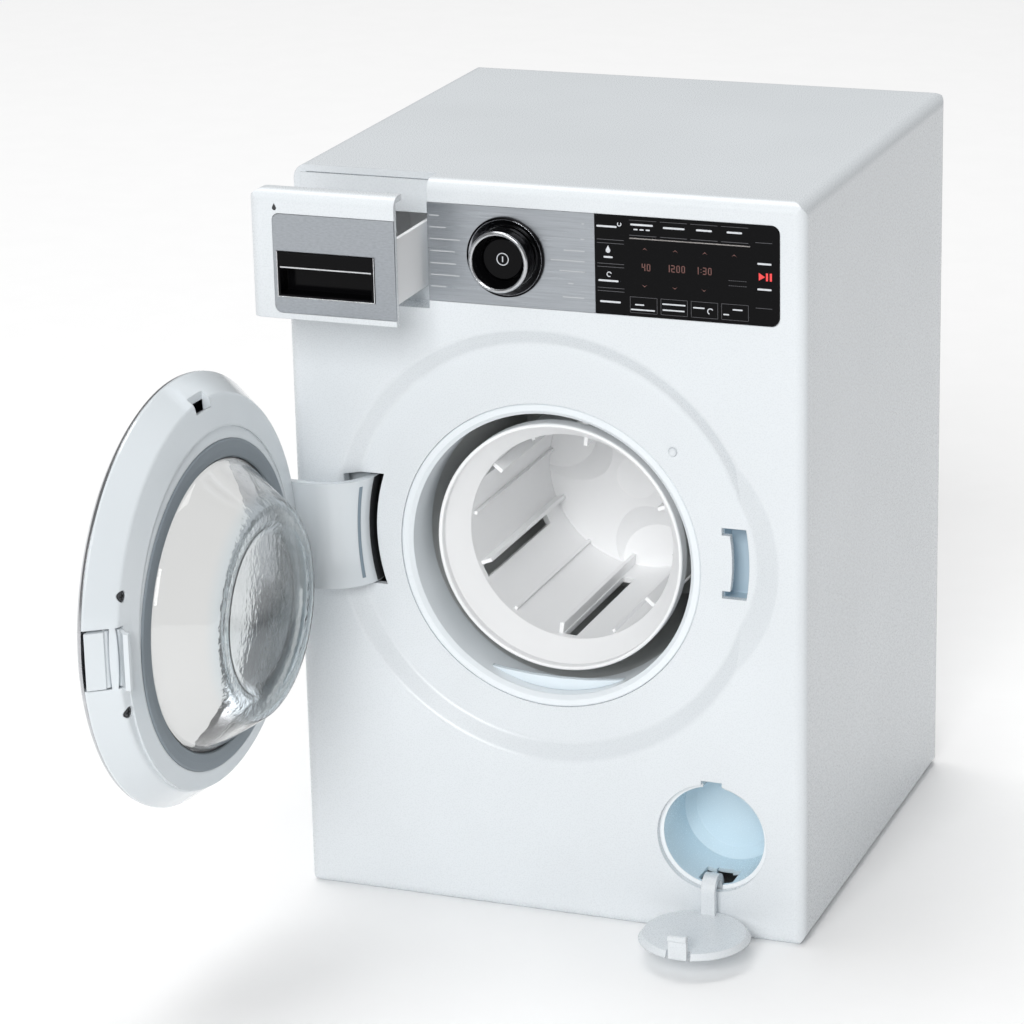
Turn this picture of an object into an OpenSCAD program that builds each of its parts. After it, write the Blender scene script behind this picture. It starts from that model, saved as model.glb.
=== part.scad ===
// Toy front-loading washing machine with a turning drum, a glazed door, a
// detergent drawer, a programme knob, a power button and a filter flap.
// Lengths are in millimetres and angles in degrees. The front faces -Y, up is
// +Z, and the origin is the middle of the underside. The model stands with its
// door open, its drawer pulled out and its filter flap down.

/* [Cabinet] */
// Width of the cabinet
cab_w = 183; // [181:1:230]
// Depth from the front plane to the back
cab_d = 178; // [170:1:230]
// Height of the cabinet
cab_h = 260; // [258:1:320]
// Wall thickness of the large mouldings
wall = 2.5; // [2:0.1:3]
// Depth of the separate front moulding
front_d = 10; // [9.5:0.5:12]
// Radius of the corners seen from the front
corner_r = 5; // [3:0.5:8]
// Radius of the edges round the front
edge_r = 4; // [2:0.5:5]
// Radius of the edges round the back
back_edge_r = 6; // [3:0.5:8]

/* [Porthole] */
// Height of the porthole's axis above the floor
port_z = 130.2; // [128:0.1:134]
// Radius of the porthole
port_r = 50.2; // [49.8:0.1:51]
// Width of the bright ring let in round the porthole
port_ring_w = 3.9; // [3:0.1:5]
// Radius of the flat floor of the dish that the door closes on
dish_r = 71.2; // [70:0.1:72]
// How much the dish sits above the porthole's axis
dish_lift = 4.1; // [3:0.1:5]
// Depth of the dish
dish_depth = 4.5; // [4:0.1:5]
// Width of the sloping wall of the dish
dish_slope = 5.6; // [4:0.1:6.5]
// Radius of the finger recess beside the dish
ear_r = 42.5; // [38:0.5:44]
// Width of the sloping wall of the finger recess
ear_slope = 9.1; // [7:0.1:10]
// How far the finger recess reaches past the dish floor
ear_reach = 11.5; // [9:0.1:12.5]

/* [Door] */
// Angle that the door stands open
door_open = 91.4; // [60:0.1:100]
// Gap between the dish floor and the seal of the shut door
door_gap = 1; // [0.6:0.1:1.5]
// Radius of the door's rim
door_r = 72.4; // [71.5:0.1:74]
// Height of the rim plane behind the seal plane
door_rim_d = 12; // [10:0.1:13]
// Radius of the shoulder of the white ring
shoulder_r = 66.3; // [66:0.1:67]
// Height of the shoulder behind the seal plane
shoulder_d = 2.7; // [2.2:0.1:3.2]
// Wall thickness of the white ring
ring_wall = 2.2; // [1.8:0.1:2.5]
// Outer radius of the grey seal
seal_r = 55.2; // [54.5:0.1:56]
// Width of the grey seal
seal_w = 6.1; // [5.5:0.1:6.5]
// How far the clear bowl stands out of the seal plane
bowl_d = 18.6; // [16:0.1:19]
// Radius of the dimple in the end of the clear bowl
bowl_dimple_r = 23.5; // [18:0.5:25]
// Wall thickness of the clear bowl
bowl_wall = 1.5; // [1.2:0.1:1.8]
// How far the front trim stands out in front of the rim plane
trim_d = 3.2; // [2.5:0.1:4]

/* [Hinge] */
// Outer radius of the curved hinge arm at mid height
arm_r = 15.1; // [14.5:0.1:15.5]
// Thickness of the hinge arm
arm_t = 2.5; // [2:0.1:2.8]
// Height of the hinge arm
arm_h = 38; // [34:0.5:39]
// Depth of the hinge axis behind the front plane
hinge_y = 8.05; // [7.9:0.05:8.6]
// Radius of the hinge pin
hinge_pin_r = 1.5; // [1.2:0.1:1.8]

/* [Latch] */
// Height of the latch lever
latch_h = 19; // [16:0.5:20]
// Height of the slot that takes the latch
latch_slot_h = 24.8; // [22:0.1:26]
// Radius of the latch pivot pin
latch_pin_r = 0.8; // [0.6:0.1:0.9]

/* [Control panel] */
// Distance from the top of the cabinet to the control strip
strip_drop = 7.6; // [6.5:0.1:9]
// Height of the control strip
strip_h = 33.8; // [32:0.1:35]
// Width of the silver part of the strip
fascia_w = 59.1; // [57:0.1:61]
// Distance from the touch panel to the side of the cabinet
touch_margin = 8.5; // [8:0.1:12]
// Distance from the drawer to the axis of the knob
knob_offset = 27.8; // [24:0.1:31]
// Radius of the knob at its foot
knob_r = 10.3; // [9.8:0.1:11]
// How far the knob stands out
knob_d = 8.1; // [5:0.1:10]
// Radius of the power button in the knob
button_r = 7.1; // [6:0.1:7.1]
// Travel of the power button
button_travel = 1; // [0.6:0.1:1.1]
// Radius of the hollow shaft of the knob
knob_shaft_r = 4; // [3.6:0.1:4.4]

/* [Drawer] */
// Width of the drawer front
drawer_w = 52.2; // [51.5:0.1:53]
// Height of the drawer front
drawer_h = 43.4; // [42.5:0.1:44.5]
// How far the drawer is pulled out
drawer_out = 28; // [0:1:36]
// Depth of the recess that the drawer front closes into
recess_d = 9.3; // [9:0.1:9.4]
// Length of the tray behind the drawer front
tray_len = 73; // [60:1:80]
// Gap between the tray and the right edge of the drawer front
tray_inset = 2.7; // [2.4:0.1:5]
// Height of the tray
tray_h = 22; // [20:0.5:22.5]
// Wall thickness of the tray
tray_wall = 1.5; // [1.2:0.1:1.8]

/* [Filter] */
// Distance from the filter hole's axis to the side of the cabinet
filter_side = 32.75; // [30:0.25:36]
// Height of the filter hole's axis
filter_z = 36.2; // [35:0.1:38]
// Radius of the filter hole
filter_r = 19.5; // [18.5:0.1:20.5]
// Depth of the cup behind the filter hole
cup_d = 27.5; // [24:0.5:32]
// Angle that the flap hangs open
flap_open = 90; // [0:1:92]
// Thickness of the flap
flap_t = 2; // [1.8:0.1:2]

/* [Drum] */
// Distance from the front plane to the rim of the drum
drum_y = 14; // [13.8:0.1:15]
// Outer radius of the drum's rim
drum_rim_r = 44.3; // [43.5:0.1:45]
// Inner radius of the drum's cage
drum_r = 37; // [36.5:0.1:38]
// Length of the drum from its rim to its back
drum_len = 93.5; // [86:0.5:98]
// Wall thickness of the drum
drum_wall = 2; // [1.6:0.1:2.4]
// Number of drain slots and of tall ribs
drum_slots = 6; // [5:1:7]
// Width of a drain slot
slot_w = 4.5; // [4:0.5:6]
// Length of a drain slot
slot_len = 62; // [40:1:70]
// Height of a tall rib
rib_h = 4; // [3:0.5:6]
// Height of the three-armed boss on the back of the drum
boss_h = 9; // [6:0.5:12]
// Inner radius of the tub round the drum
tub_r = 51; // [50.8:0.1:52]

/* [Drive] */
// Distance from the drum's axis down to the motor's axis
motor_drop = 72; // [70:0.5:76]
// Radius of the belt's seat on the drum pulley
pulley_r = 22.5; // [18:0.5:24]
// Radius of the belt's seat on the motor pulley
pinion_r = 4; // [3.5:0.1:5]
// Radius of the motor's can
motor_r = 12; // [10:0.5:12]
// Length of the motor's can
motor_len = 32; // [26:1:34]
// Radius of the drum's shaft
shaft_r = 3; // [2.6:0.1:3.4]

/* [Batteries] */
// Number of round cells
cells = 4; // [3:1:4]
// Diameter of a cell
cell_d = 14.4; // [14:0.1:14.6]
// Length of a cell
cell_len = 50; // [48:0.5:50.5]

/* [Clearances] */
// Radial clearance of a pin or shaft that turns or slides in its bore
run_fit = 0.05; // [0.02:0.01:0.09]
// Gap between pieces that move past each other
free_gap = 0.4; // [0.3:0.05:0.5]
// Gap between pieces that are fixed together
seat_gap = 0.1; // [0.05:0.05:0.15]

/* [Hidden] */
$fn = 96;

white = "#f2f5f8";
over = 1;

// The two sides and the front edges of the strip and the drawer
side_x = cab_w / 2;
drawer_x1 = -side_x + drawer_w;
recess_x1 = drawer_x1 + 0.2;
drawer_z0 = cab_h - drawer_h;
recess_z0 = drawer_z0 - 0.8;
recess_wall = 2;
tray_left = 3.5;
tray_lift = 6.2;
tray_w = drawer_w - tray_left - tray_inset;
strip_z1 = cab_h - strip_drop;
strip_z0 = strip_z1 - strip_h;
strip_mid = (strip_z0 + strip_z1) / 2;
strip_t = 0.8;
stem_r = 2;
touch_x0 = recess_x1 + fascia_w;
touch_x1 = side_x - touch_margin;
knob_x = recess_x1 + knob_offset;
knob_z = strip_mid;

// The dish and the finger recess beside it
dish_z = port_z + dish_lift;
ear_x = dish_r + ear_reach - ear_slope - ear_r;
floor_back = dish_depth + wall;
ring_seat_r = port_r + port_ring_w;

// The door is drawn shut, with zero depth at its seal plane
door_y = dish_depth - door_gap;
seal_in_r = seal_r - seal_w;
// Lean of the bowl's side from the door's axis
bowl_lean = 35;
arm_face_r = shoulder_r - 0.7;
hinge_x = -(arm_face_r + arm_r);
hub_r = 3.6;
arm_tail = 20;
hinge_slot_r = arm_face_r - 2.6;
hinge_slot_x = hinge_x + 7.5;
hinge_slot_h = arm_h + 2;

// The latch turns on a pin just under the shoulder of the ring
latch_u = shoulder_r;
latch_w = -shoulder_d - 4.3;
latch_slot_r0 = shoulder_r - 1.2;
latch_slot_r1 = latch_slot_r0 + 6;
latch_barrel_r = latch_pin_r + 1.1;
pocket_h = latch_h + 1.2;

// The filter flap and its pivot
filter_x = side_x - filter_side;
flap_r = filter_r - 0.35;
pivot_y = 4.57;
pivot_z = filter_z - flap_r - 4.58;
flap_pin_r = 0.8;
knuckle_r = 1.7;
knuckle_w = 5;
tab_w = 6.6;

// The door pin that feels whether the door is shut
pin_x = 44.6;
pin_z = dish_z + 37.3;
pin_r = 1.5;

// The drum and what drives it
rim_len = 14.5;
drum_back = drum_y + drum_len;
tub_front = front_d + 13;
lip_y0 = front_d + 0.5;
lip_y1 = lip_y0 + 2;
tub_back = drum_back + 8;
tub_wall = 2;
bush_r = 7;
bush_y1 = tub_back + 8;
pulley_y0 = bush_y1 + 4;
pulley_t = 6;
belt_w = 4;
belt_t = 1.2;
belt_gap = 0.3;
motor_z = port_z - motor_drop;
bracket_y = pulley_y0 - 4;
bracket_t = 2.5;
motor_shaft_r = 1;
motor_bore = motor_r - 1.4;

// The base, the back and what is fixed to them
base_t = 5;
flange_t = 2.5;
flange_w = 13.5;
cover_t = 2;
cover_y = cab_d - 0.5 - cover_t;
rebate = 7.5;
box_wall = 1.5;
box_w = cells * (cell_d + 0.4);
spring_h = 3.2;
box_h = cell_len + spring_h;
box_z = 18;
box_y1 = cover_y;
box_y0 = box_y1 - cell_d - 2 - box_wall;
cell_y = box_y0 + box_wall + 0.6 + cell_d / 2;
lid_margin = 3;
screw_r = 1.3;
head_r = 2.8;
board_y = 14;
board_t = 1.6;
board_x0 = recess_x1 + 5;
board_x1 = touch_x1 - 3;
post_r = 2.5;
back_screw_len = 7;
speaker_x = 40;
speaker_z = cab_h - 60;
speaker_r = 14;
speaker_d = 9;

// Moves the front plane to its place
module from_front() translate([0, -cab_d / 2, 0]) children();

// Extrudes an outline seen from the front between two depths
module slab(y0, y1) translate([0, y1, 0]) rotate([90, 0, 0]) linear_extrude(y1 - y0) children();

// Turns an outline of radius and depth round an axis that runs front to back
module turned(x, z) translate([x, 0, z]) rotate([-90, 0, 0]) rotate_extrude() children();

// Round bar or taper that runs front to back
module rod(x, z, y0, y1, r) translate([x, y0, z]) rotate([-90, 0, 0]) cylinder(h = y1 - y0, r = r);
module taper(x, z, y0, y1, r0, r1)
    translate([x, y0, z]) rotate([-90, 0, 0]) cylinder(h = y1 - y0, r1 = r0, r2 = r1);

module block(x0, x1, y0, y1, z0, z1) translate([x0, y0, z0]) cube([x1 - x0, y1 - y0, z1 - z0]);

module rounded(x0, x1, z0, z1, r) {
    translate([x0 + r, z0]) square([x1 - x0 - 2 * r, z1 - z0]);
    translate([x0, z0 + r]) square([x1 - x0, z1 - z0 - 2 * r]);
    for (x = [x0 + r, x1 - r], z = [z0 + r, z1 - r]) translate([x, z]) circle(r);
}

// Bar with two rounded corners at its front
module bull_nose(len, d, r) {
    translate([-len / 2, r]) square([len, d - r]);
    translate([-len / 2 + r, 0]) square([len - 2 * r, d]);
    for (s = [-1, 1]) translate([s * (len / 2 - r), r]) circle(r);
}

// Box standing on the floor, with rounded corners and rounded front edges
module nose_box(w, h, d, cr, er) {
    intersection() {
        slab(0, d) rounded(-w / 2, w / 2, 0, h, cr);
        linear_extrude(h) bull_nose(w, d, er);
        translate([-w / 2, 0, h / 2]) rotate([90, 0, 90]) linear_extrude(w)
            mirror([1, 0]) rotate(90) bull_nose(h, d, er);
    }
}

function arc(cx, cy, r, a0, a1, n) =
    [for (i = [0:n]) let (a = a0 + (a1 - a0) * i / n) [cx + r * cos(a), cy + r * sin(a)]];

// Outline of a shallow dish of a given floor radius, cut from the front plane
function dish_outline(r, slope, depth, blend) =
    let (a = atan(depth / slope), t = blend * tan(a / 2), n = 5)
    concat(
        [[0, -over], [r + slope + t, -over]],
        arc(r + slope + t, blend, blend, 270, 270 - a, n),
        arc(r - t, depth - blend, blend, 90 - a, 90, n),
        [[0, depth]]
    );

// Loop round two seats, one above the other
module belt_loop(y0, y1, extra) hull() {
    rod(0, port_z, y0, y1, pulley_r + extra);
    rod(0, motor_z, y0, y1, pinion_r + extra);
}

// Coil of round wire that runs up from zero
module coil(r, wire, h, turns) {
    steps = 10;
    sides = 6;
    rings = turns * steps;
    function point(i, j) =
        let (a = 360 * i / steps, b = 360 * j / sides, q = r + wire * cos(b))
        [q * cos(a), q * sin(a), wire + (h - 2 * wire) * i / rings + wire * sin(b)];
    points = [for (i = [0:rings], j = [0:sides - 1]) point(i, j)];
    side = [
        for (i = [0:rings - 1], j = [0:sides - 1], half = [0, 1])
        let (a = i * sides + j, b = i * sides + (j + 1) % sides)
        half == 0 ? [a, a + sides, b] : [b, a + sides, b + sides]
    ];
    start = [for (j = [1:sides - 2]) [0, j, j + 1]];
    last = rings * sides;
    end = [for (j = [1:sides - 2]) [last, last + j + 1, last + j]];
    polyhedron(concat([for (p = points) p]), concat(side, start, end));
}

// Screw with its head at the given depth, running forwards or backwards
module screw(x, z, y_head, len, way, r, hr) {
    head_t = 0.9;
    y1 = y_head + way * len;
    difference() {
        union() {
            rod(x, z, min(y_head, y_head + way * head_t), max(y_head, y_head + way * head_t), hr);
            rod(x, z, min(y_head, y1), max(y_head, y1), r);
        }
        for (a = [0, 90]) translate([x, y_head, z]) rotate([0, a, 0])
            cube([hr * 1.2, 1.2, 0.6], center = true);
    }
}

// Whole front moulding outline, shared by the front panel and the drawer front
module front_outline() nose_box(cab_w, cab_h, front_d, corner_r, edge_r);

module dish_cut(extra) {
    turned(0, dish_z) polygon(dish_outline(dish_r + extra, dish_slope, dish_depth, 3));
    turned(ear_x, dish_z) polygon(dish_outline(ear_r + extra, ear_slope, dish_depth, 3));
}

// Material left behind the dish and the finger recess
module dish_backing() {
    taper(0, dish_z, 0, floor_back, dish_r + dish_slope + 5.2, dish_r + wall);
    taper(ear_x, dish_z, 0, floor_back, ear_r + ear_slope + 4.4, ear_r + wall);
}

module cabinet_shell() {
    depth = cab_d - front_d;
    flange_y = cover_y - flange_t;
    from_front() color(white) difference() {
        translate([0, cab_d, 0]) mirror([0, 1, 0])
            nose_box(cab_w, cab_h, depth, corner_r, back_edge_r);
        slab(front_d - over, flange_y)
            rounded(-side_x + wall, side_x - wall, flange_t, cab_h - wall, 3);
        slab(flange_y - over, cab_d)
            rounded(-side_x + flange_w, side_x - flange_w, flange_w, cab_h - flange_w, 3);
        slab(cover_y, cab_d + over)
            rounded(-side_x + rebate, side_x - rebate, rebate, cab_h - rebate, 3);
        block(-side_x + flange_w, side_x - flange_w, front_d - over, flange_y - flange_w,
            -over, flange_t + over);
        back_screw_places() translate([0, flange_y - over, 0]) rotate([-90, 0, 0])
            cylinder(h = flange_t + 2 * over, r = screw_r + seat_gap / 2);
    }
}

module back_screw_places() {
    x = side_x - (flange_w + rebate) / 2;
    z = (flange_w + rebate) / 2;
    for (s = [-1, 1], h = [z, cab_h / 2, cab_h - z]) translate([s * x, 0, h]) children();
}

module front_panel() {
    from_front() color(white) difference() {
        union() {
            difference() {
                front_outline();
                difference() {
                    block(-side_x + wall, side_x - wall, wall, front_d + over, wall, cab_h - wall);
                    dish_backing();
                    block(-side_x, recess_x1 + wall, 0, front_d + 2 * over,
                        recess_z0 - wall, cab_h);
                }
            }
            // Back wall of the drawer recess, inside the shell
            slab(recess_d, recess_d + recess_wall) rounded(-side_x + wall + 0.2,
                recess_x1 + wall, recess_z0 - wall, cab_h - wall - 0.2, 3);
            rod(knob_x, knob_z, wall - 0.5, 9, 2 * knob_shaft_r);
            rod(pin_x, pin_z, dish_depth + 1, 18, 4.4);
            board_posts() rotate([-90, 0, 0]) cylinder(h = board_y - wall + 0.5, r = post_r);
        }
        dish_cut(0);
        rod(0, port_z, 0, floor_back + over, ring_seat_r);
        // Recess that the drawer front closes into, and the way in for its tray
        block(-side_x - over, recess_x1, -over, recess_d, recess_z0, cab_h + over);
        block(-side_x - over, -side_x + wall + 0.2, 0, front_d + over, recess_z0, cab_h + over);
        block(-side_x - over, recess_x1, 0, front_d + over, cab_h - wall - 0.2, cab_h + over);
        block(tray_x0() - 0.5, tray_x0() + tray_w + 0.5, 0, recess_d + recess_wall + over,
            tray_z0() - 0.7, tray_z0() + tray_h + 2);
        // Seat of the control strip
        block(recess_x1 - over, touch_x0, -over, strip_t, strip_z0, strip_z1);
        slab(-over, strip_t) {
            rounded(touch_x0 - 8, touch_x1 + 0.2, strip_z0, strip_z1, 3);
            translate([touch_x0 - 9, strip_z0]) square([10, strip_h]);
        }
        rod(knob_x, knob_z, 0, 1.6, knob_r + 0.35);
        rod(knob_x, knob_z, 0, 10, knob_shaft_r + run_fit);
        latch_slot(0);
        hinge_slot();
        rod(pin_x, pin_z, 0, 10, pin_r + run_fit);
        rod(pin_x, pin_z, 9.3, 19, 3);
        rod(filter_x, filter_z, -over, wall + over, filter_r);
        block(filter_x - tab_w / 2 - 0.4, filter_x + tab_w / 2 + 0.4, -over, wall + over,
            filter_z, filter_z + filter_r + 1.3);
        board_posts() translate([0, board_y - wall - 6, 0]) rotate([-90, 0, 0])
            cylinder(h = 8, r = 1 + seat_gap / 2);
    }
}

module board_posts() {
    for (x = [board_x0 + 4, board_x1 - 4], z = [strip_z0 + 4, strip_z1 - 4])
        translate([x, wall - 0.5, z]) children();
}

// Curved slot in the dish floor for the latch, with a small lug at each end
module latch_slot(extra) {
    h = latch_slot_h;
    lug_h = 2.6;
    intersection() {
        difference() {
            rod(0, dish_z, 0, floor_back + over, latch_slot_r1 + extra);
            rod(0, dish_z, -over, floor_back + 2 * over, latch_slot_r0 - extra);
        }
        block(0, side_x, 0, floor_back + over, dish_z - h / 2 - extra, dish_z + h / 2 + extra);
    }
    for (z = [dish_z - h / 2, dish_z + h / 2 - lug_h])
        block(latch_slot_r0 - 3.6, latch_slot_r0 + 1, 0, floor_back + over, z, z + lug_h);
}

module hinge_slot() {
    h = hinge_slot_h;
    difference() {
        block(hinge_slot_x, -hinge_slot_r + 12, -over, floor_back + over,
            dish_z - h / 2, dish_z + h / 2);
        rod(0, dish_z, -2 * over, floor_back + 2 * over, hinge_slot_r);
    }
}

module base_plate() {
    y0 = front_d + seat_gap;
    y1 = cover_y - flange_t - flange_w;
    from_front() color(white) difference() {
        union() {
            x0 = side_x - flange_w - seat_gap;
            block(-x0, x0, y0, y1 - seat_gap, 0, flange_t + 0.5);
            x1 = side_x - wall - 3.2;
            block(-x1, x1, y0, y1 + 8, flange_t, base_t);
        }
        // Hollow that keeps the plate even in thickness
        block(-side_x + 2 * flange_w, side_x - 2 * flange_w, y0 + 8, bracket_y - 30,
            flange_t + 0.5, base_t + over);
    }
}

module back_cover() {
    grille_pitch = 5;
    from_front() color(white) difference() {
        slab(cover_y, cover_y + cover_t) rounded(-side_x + rebate + seat_gap,
            side_x - rebate - seat_gap, rebate + seat_gap, cab_h - rebate - seat_gap, 3);
        back_screw_places() {
            translate([0, cover_y - over, 0]) rotate([-90, 0, 0])
                cylinder(h = cover_t + 2 * over, r = screw_r + 0.2);
            translate([0, cover_y + 0.6, 0]) rotate([-90, 0, 0]) cylinder(h = cover_t, r = head_r + 0.2);
        }
        // Opening and sunk seat of the battery cover
        block(-box_w / 2, box_w / 2, cover_y - over, cab_d, box_z, box_z + box_h);
        slab(cover_y + 0.8, cab_d) rounded(-box_w / 2 - lid_margin, box_w / 2 + lid_margin,
            box_z - lid_margin, box_z + box_h + 8, 2);
        rod(0, box_z + box_h + 4.5, cover_y - over, cab_d, screw_r + seat_gap / 2);
        // Sound holes
        for (i = [-2:2], j = [-2:2]) if (abs(i) + abs(j) < 4)
            rod(speaker_x + i * grille_pitch, speaker_z + j * grille_pitch,
                cover_y - over, cab_d, 1.2);
    }
}

module back_screws() {
    from_front() color("silver") back_screw_places()
        screw(0, 0, cover_y + 1.5, back_screw_len, -1, screw_r, head_r);
}

module control_fascia() {
    from_front() color("#b9bcc0") difference() {
        block(recess_x1, touch_x0 - seat_gap, 0, strip_t, strip_z0 + seat_gap, strip_z1 - seat_gap);
        rod(knob_x, knob_z, -over, strip_t + over, knob_r + 0.35);
    }
}

module touch_panel() {
    from_front() color("#101114") slab(-0.2, strip_t) {
        rounded(touch_x1 - 20, touch_x1, strip_z0 + 0.2, strip_z1 - 0.2, 3);
        translate([touch_x0, strip_z0 + 0.2])
            square([touch_x1 - touch_x0 - 10, strip_h - 0.4]);
    }
}

module knob_bezel() {
    r = knob_r + 2.7;
    from_front() color("#101114") turned(knob_x, knob_z)
        polygon([[r, 0], [r, -1], [r + 0.25, -1.3], [r + 0.5, -1.2], [r + 0.65, -0.6], [r + 0.65, 0]]);
}

module knob_ring() {
    r = knob_r + 0.35;
    from_front() color("#dfe3e6") turned(knob_x, knob_z)
        polygon([[r, 0], [r, -0.35], [r + 0.6, -0.5], [r + 2.3, -1.05], [r + 2.3, 0]]);
}

module knob_body() {
    r1 = knob_r + 0.15;
    well = button_r + 0.3;
    from_front() color("#1c1d21") turned(knob_x, knob_z) polygon([
        [stem_r + free_gap, -0.7], [well, -0.7], [well, -2.9], [r1 - 1.4, 0.7 - knob_d], [r1, 0.7 - knob_d],
        [knob_r - 0.3, -1.6], [knob_r, -0.9], [knob_r, 1.1],
        [stem_r + free_gap, 1.1]
    ]);
}

module knob_rim() {
    r1 = knob_r + 0.15;
    y = 0.7 - knob_d;
    from_front() color("#c9cdd2") turned(knob_x, knob_z) polygon([
        [r1 - 1.4, y], [r1 - 1.35, y - 0.4], [r1 - 0.9, y - 0.7], [r1 - 0.4, y - 0.6],
        [r1 - 0.05, y - 0.2], [r1, y]
    ]);
}

module knob_shaft() {
    from_front() color("#e8e8e8") turned(knob_x, knob_z) polygon([
        [stem_r + run_fit, 1.1], [knob_shaft_r, 1.1], [knob_shaft_r, 13], [stem_r + run_fit, 13]
    ]);
}

module knob_clip() {
    from_front() color("#9aa0a6") difference() {
        rod(knob_x, knob_z, 9.3, 10.2, knob_shaft_r + 2);
        rod(knob_x, knob_z, 9, 11, knob_shaft_r + seat_gap / 2);
        block(knob_x - 1, knob_x + 1, 9, 11, knob_z - 8, knob_z);
    }
}

module power_button() {
    from_front() color("#15161a") turned(knob_x, knob_z) polygon([
        [0, -3.1], [button_r - 0.4, -3.1], [button_r, -2.8], [button_r, -1.1 - button_travel],
        [stem_r, -1.1 - button_travel], [stem_r, 12.4 - button_travel], [0, 12.4 - button_travel]
    ]);
}

module rotary_switch() {
    from_front() color("#3a4a66") turned(knob_x, knob_z) polygon([
        [knob_shaft_r + 0.4, 10.6], [knob_shaft_r + 4, 10.6], [knob_shaft_r + 4, board_y],
        [knob_shaft_r + 0.4, board_y]
    ]);
}

module power_switch() {
    from_front() color("#2a2a2a") {
        rod(knob_x, knob_z, 12.7, 13.5, 1);
        rod(knob_x, knob_z, 13.4, board_y, 3.2);
    }
}

module circuit_board() {
    from_front() color("#1f6b3a") difference() {
        block(board_x0, board_x1, board_y, board_y + board_t, strip_z0 - 2, strip_z1 + 1);
        board_posts() translate([0, 10, 0]) rotate([-90, 0, 0]) cylinder(h = 6, r = 1.3);
    }
}

module board_screws() {
    from_front() color("silver") board_posts()
        screw(0, 0, board_y + board_t + 0.9 - wall + 0.5, 6, -1, 1, 2.4);
}

module porthole_ring() {
    r = port_r;
    w = port_ring_w;
    from_front() color("#eef3f7") turned(0, port_z) polygon([
        [r, dish_depth + 1.6], [r + 1.4, dish_depth + 0.1], [r + w - 0.5, dish_depth],
        [r + w - seat_gap, dish_depth + 0.4], [r + w - seat_gap, floor_back + seat_gap],
        [r + w + 2, floor_back + seat_gap], [r + w + 2, floor_back + 1.6],
        [r + tub_wall + 0.8, floor_back + 1.6], [r + tub_wall + 0.8, tub_front],
        [r, tub_front]
    ]);
}

// Crescent sill across the foot of the porthole
module drip_lip() {
    half = 24;
    rise = 1.9;
    r = port_r - 0.05;
    sag = r - sqrt(r * r - half * half);
    depth = sag - rise;
    big = (half * half + rise * rise) / (2 * rise);
    from_front() color("#cfe3f1") difference() {
        rod(0, port_z, lip_y0, lip_y1, r);
        rod(0, port_z - r + depth + big, lip_y0 - over, lip_y1 + over, big);
    }
}

module tub() {
    r = tub_r;
    from_front() color("#6d7278") turned(0, port_z) polygon([
        [port_r + 0.2, tub_front], [r + tub_wall, tub_front], [r + tub_wall, tub_back + tub_wall],
        [11, tub_back + tub_wall], [9.5, bush_y1], [bush_r + seat_gap / 2, bush_y1],
        [bush_r + seat_gap / 2, tub_back], [r, tub_back], [r, tub_front + 2],
        [port_r + 0.2, tub_front + 1.4]
    ]);
}

module drum_bearing() {
    from_front() color("#b08d57") difference() {
        rod(0, port_z, tub_back, bush_y1, bush_r);
        rod(0, port_z, tub_back - over, bush_y1 + over, shaft_r + run_fit);
    }
}

module drum_rim() {
    r = drum_rim_r;
    y = drum_y;
    from_front() color("#eceff1") turned(0, port_z) polygon(concat(
        arc(r - 0.7, y + 0.7, 0.7, 180, 360, 6),
        [[r, y + 5.5], [drum_r + 2.6, y + rim_len], [drum_r, y + rim_len],
            [drum_r, y + rim_len - 2], [r - 1.4, y + 3]]
    ));
}

module drum_basket() {
    y0 = drum_y + rim_len;
    hub_r1 = 6.5;
    hub_y = drum_back + 7;
    from_front() color("#eceff1") union() {
        difference() {
            union() {
                turned(0, port_z) polygon([
                    [drum_r, y0], [drum_r + drum_wall, y0], [drum_r + drum_wall, drum_back],
                    [hub_r1, drum_back], [hub_r1, hub_y], [0, hub_y],
                    [0, drum_back - drum_wall], [drum_r, drum_back - drum_wall]
                ]);
                drum_boss();
            }
            rod(0, port_z, drum_back + 1, hub_y + over, shaft_r + seat_gap / 2);
            for (k = [0:drum_slots - 1]) rotate_y(slot_angle(k))
                block(drum_r - 3, drum_r + drum_wall + over, y0 + 1, y0 + 1 + slot_len,
                    port_z - slot_w / 2, port_z + slot_w / 2);
        }
        for (k = [0:drum_slots - 1]) {
            rotate_y(slot_angle(k) - atan((slot_w / 2 + 1.2) / drum_r))
                block(drum_r - rib_h, drum_r + 0.5, y0 + 0.6, drum_back - drum_wall + 0.5,
                    port_z - 0.7, port_z + 0.7);
            rotate_y(slot_angle(k) + 156 / drum_slots)
                block(drum_r - 1.2, drum_r + 0.5, y0 + 0.6, drum_back - drum_wall + 0.5,
                    port_z - 0.6, port_z + 0.6);
        }
    }
}

// Low cone on the back of the drum, cut to three arms by round scallops
module drum_boss() {
    back = drum_back - drum_wall;
    scallop = 26;
    difference() {
        turned(0, port_z) polygon([
            [0, back - boss_h], [8, back - boss_h], [drum_r + 0.5, back - 0.6],
            [drum_r + 0.5, back + 0.5], [0, back + 0.5]
        ]);
        for (k = [0:2]) rotate_y(39 + 120 * k)
            taper(drum_r - 2, port_z, back - boss_h - over, back + 0.2, scallop, scallop - 12);
    }
}

function slot_angle(k) = 27 + 360 * k / drum_slots;

// Turns about the drum's axis, from right towards the top
module rotate_y(a) translate([0, 0, port_z]) rotate([0, -a, 0]) translate([0, 0, -port_z]) children();

module drum_shaft() {
    from_front() color("#a9adb2") rod(0, port_z, drum_back + 1, pulley_y0 + pulley_t + 1, shaft_r);
}

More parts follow.
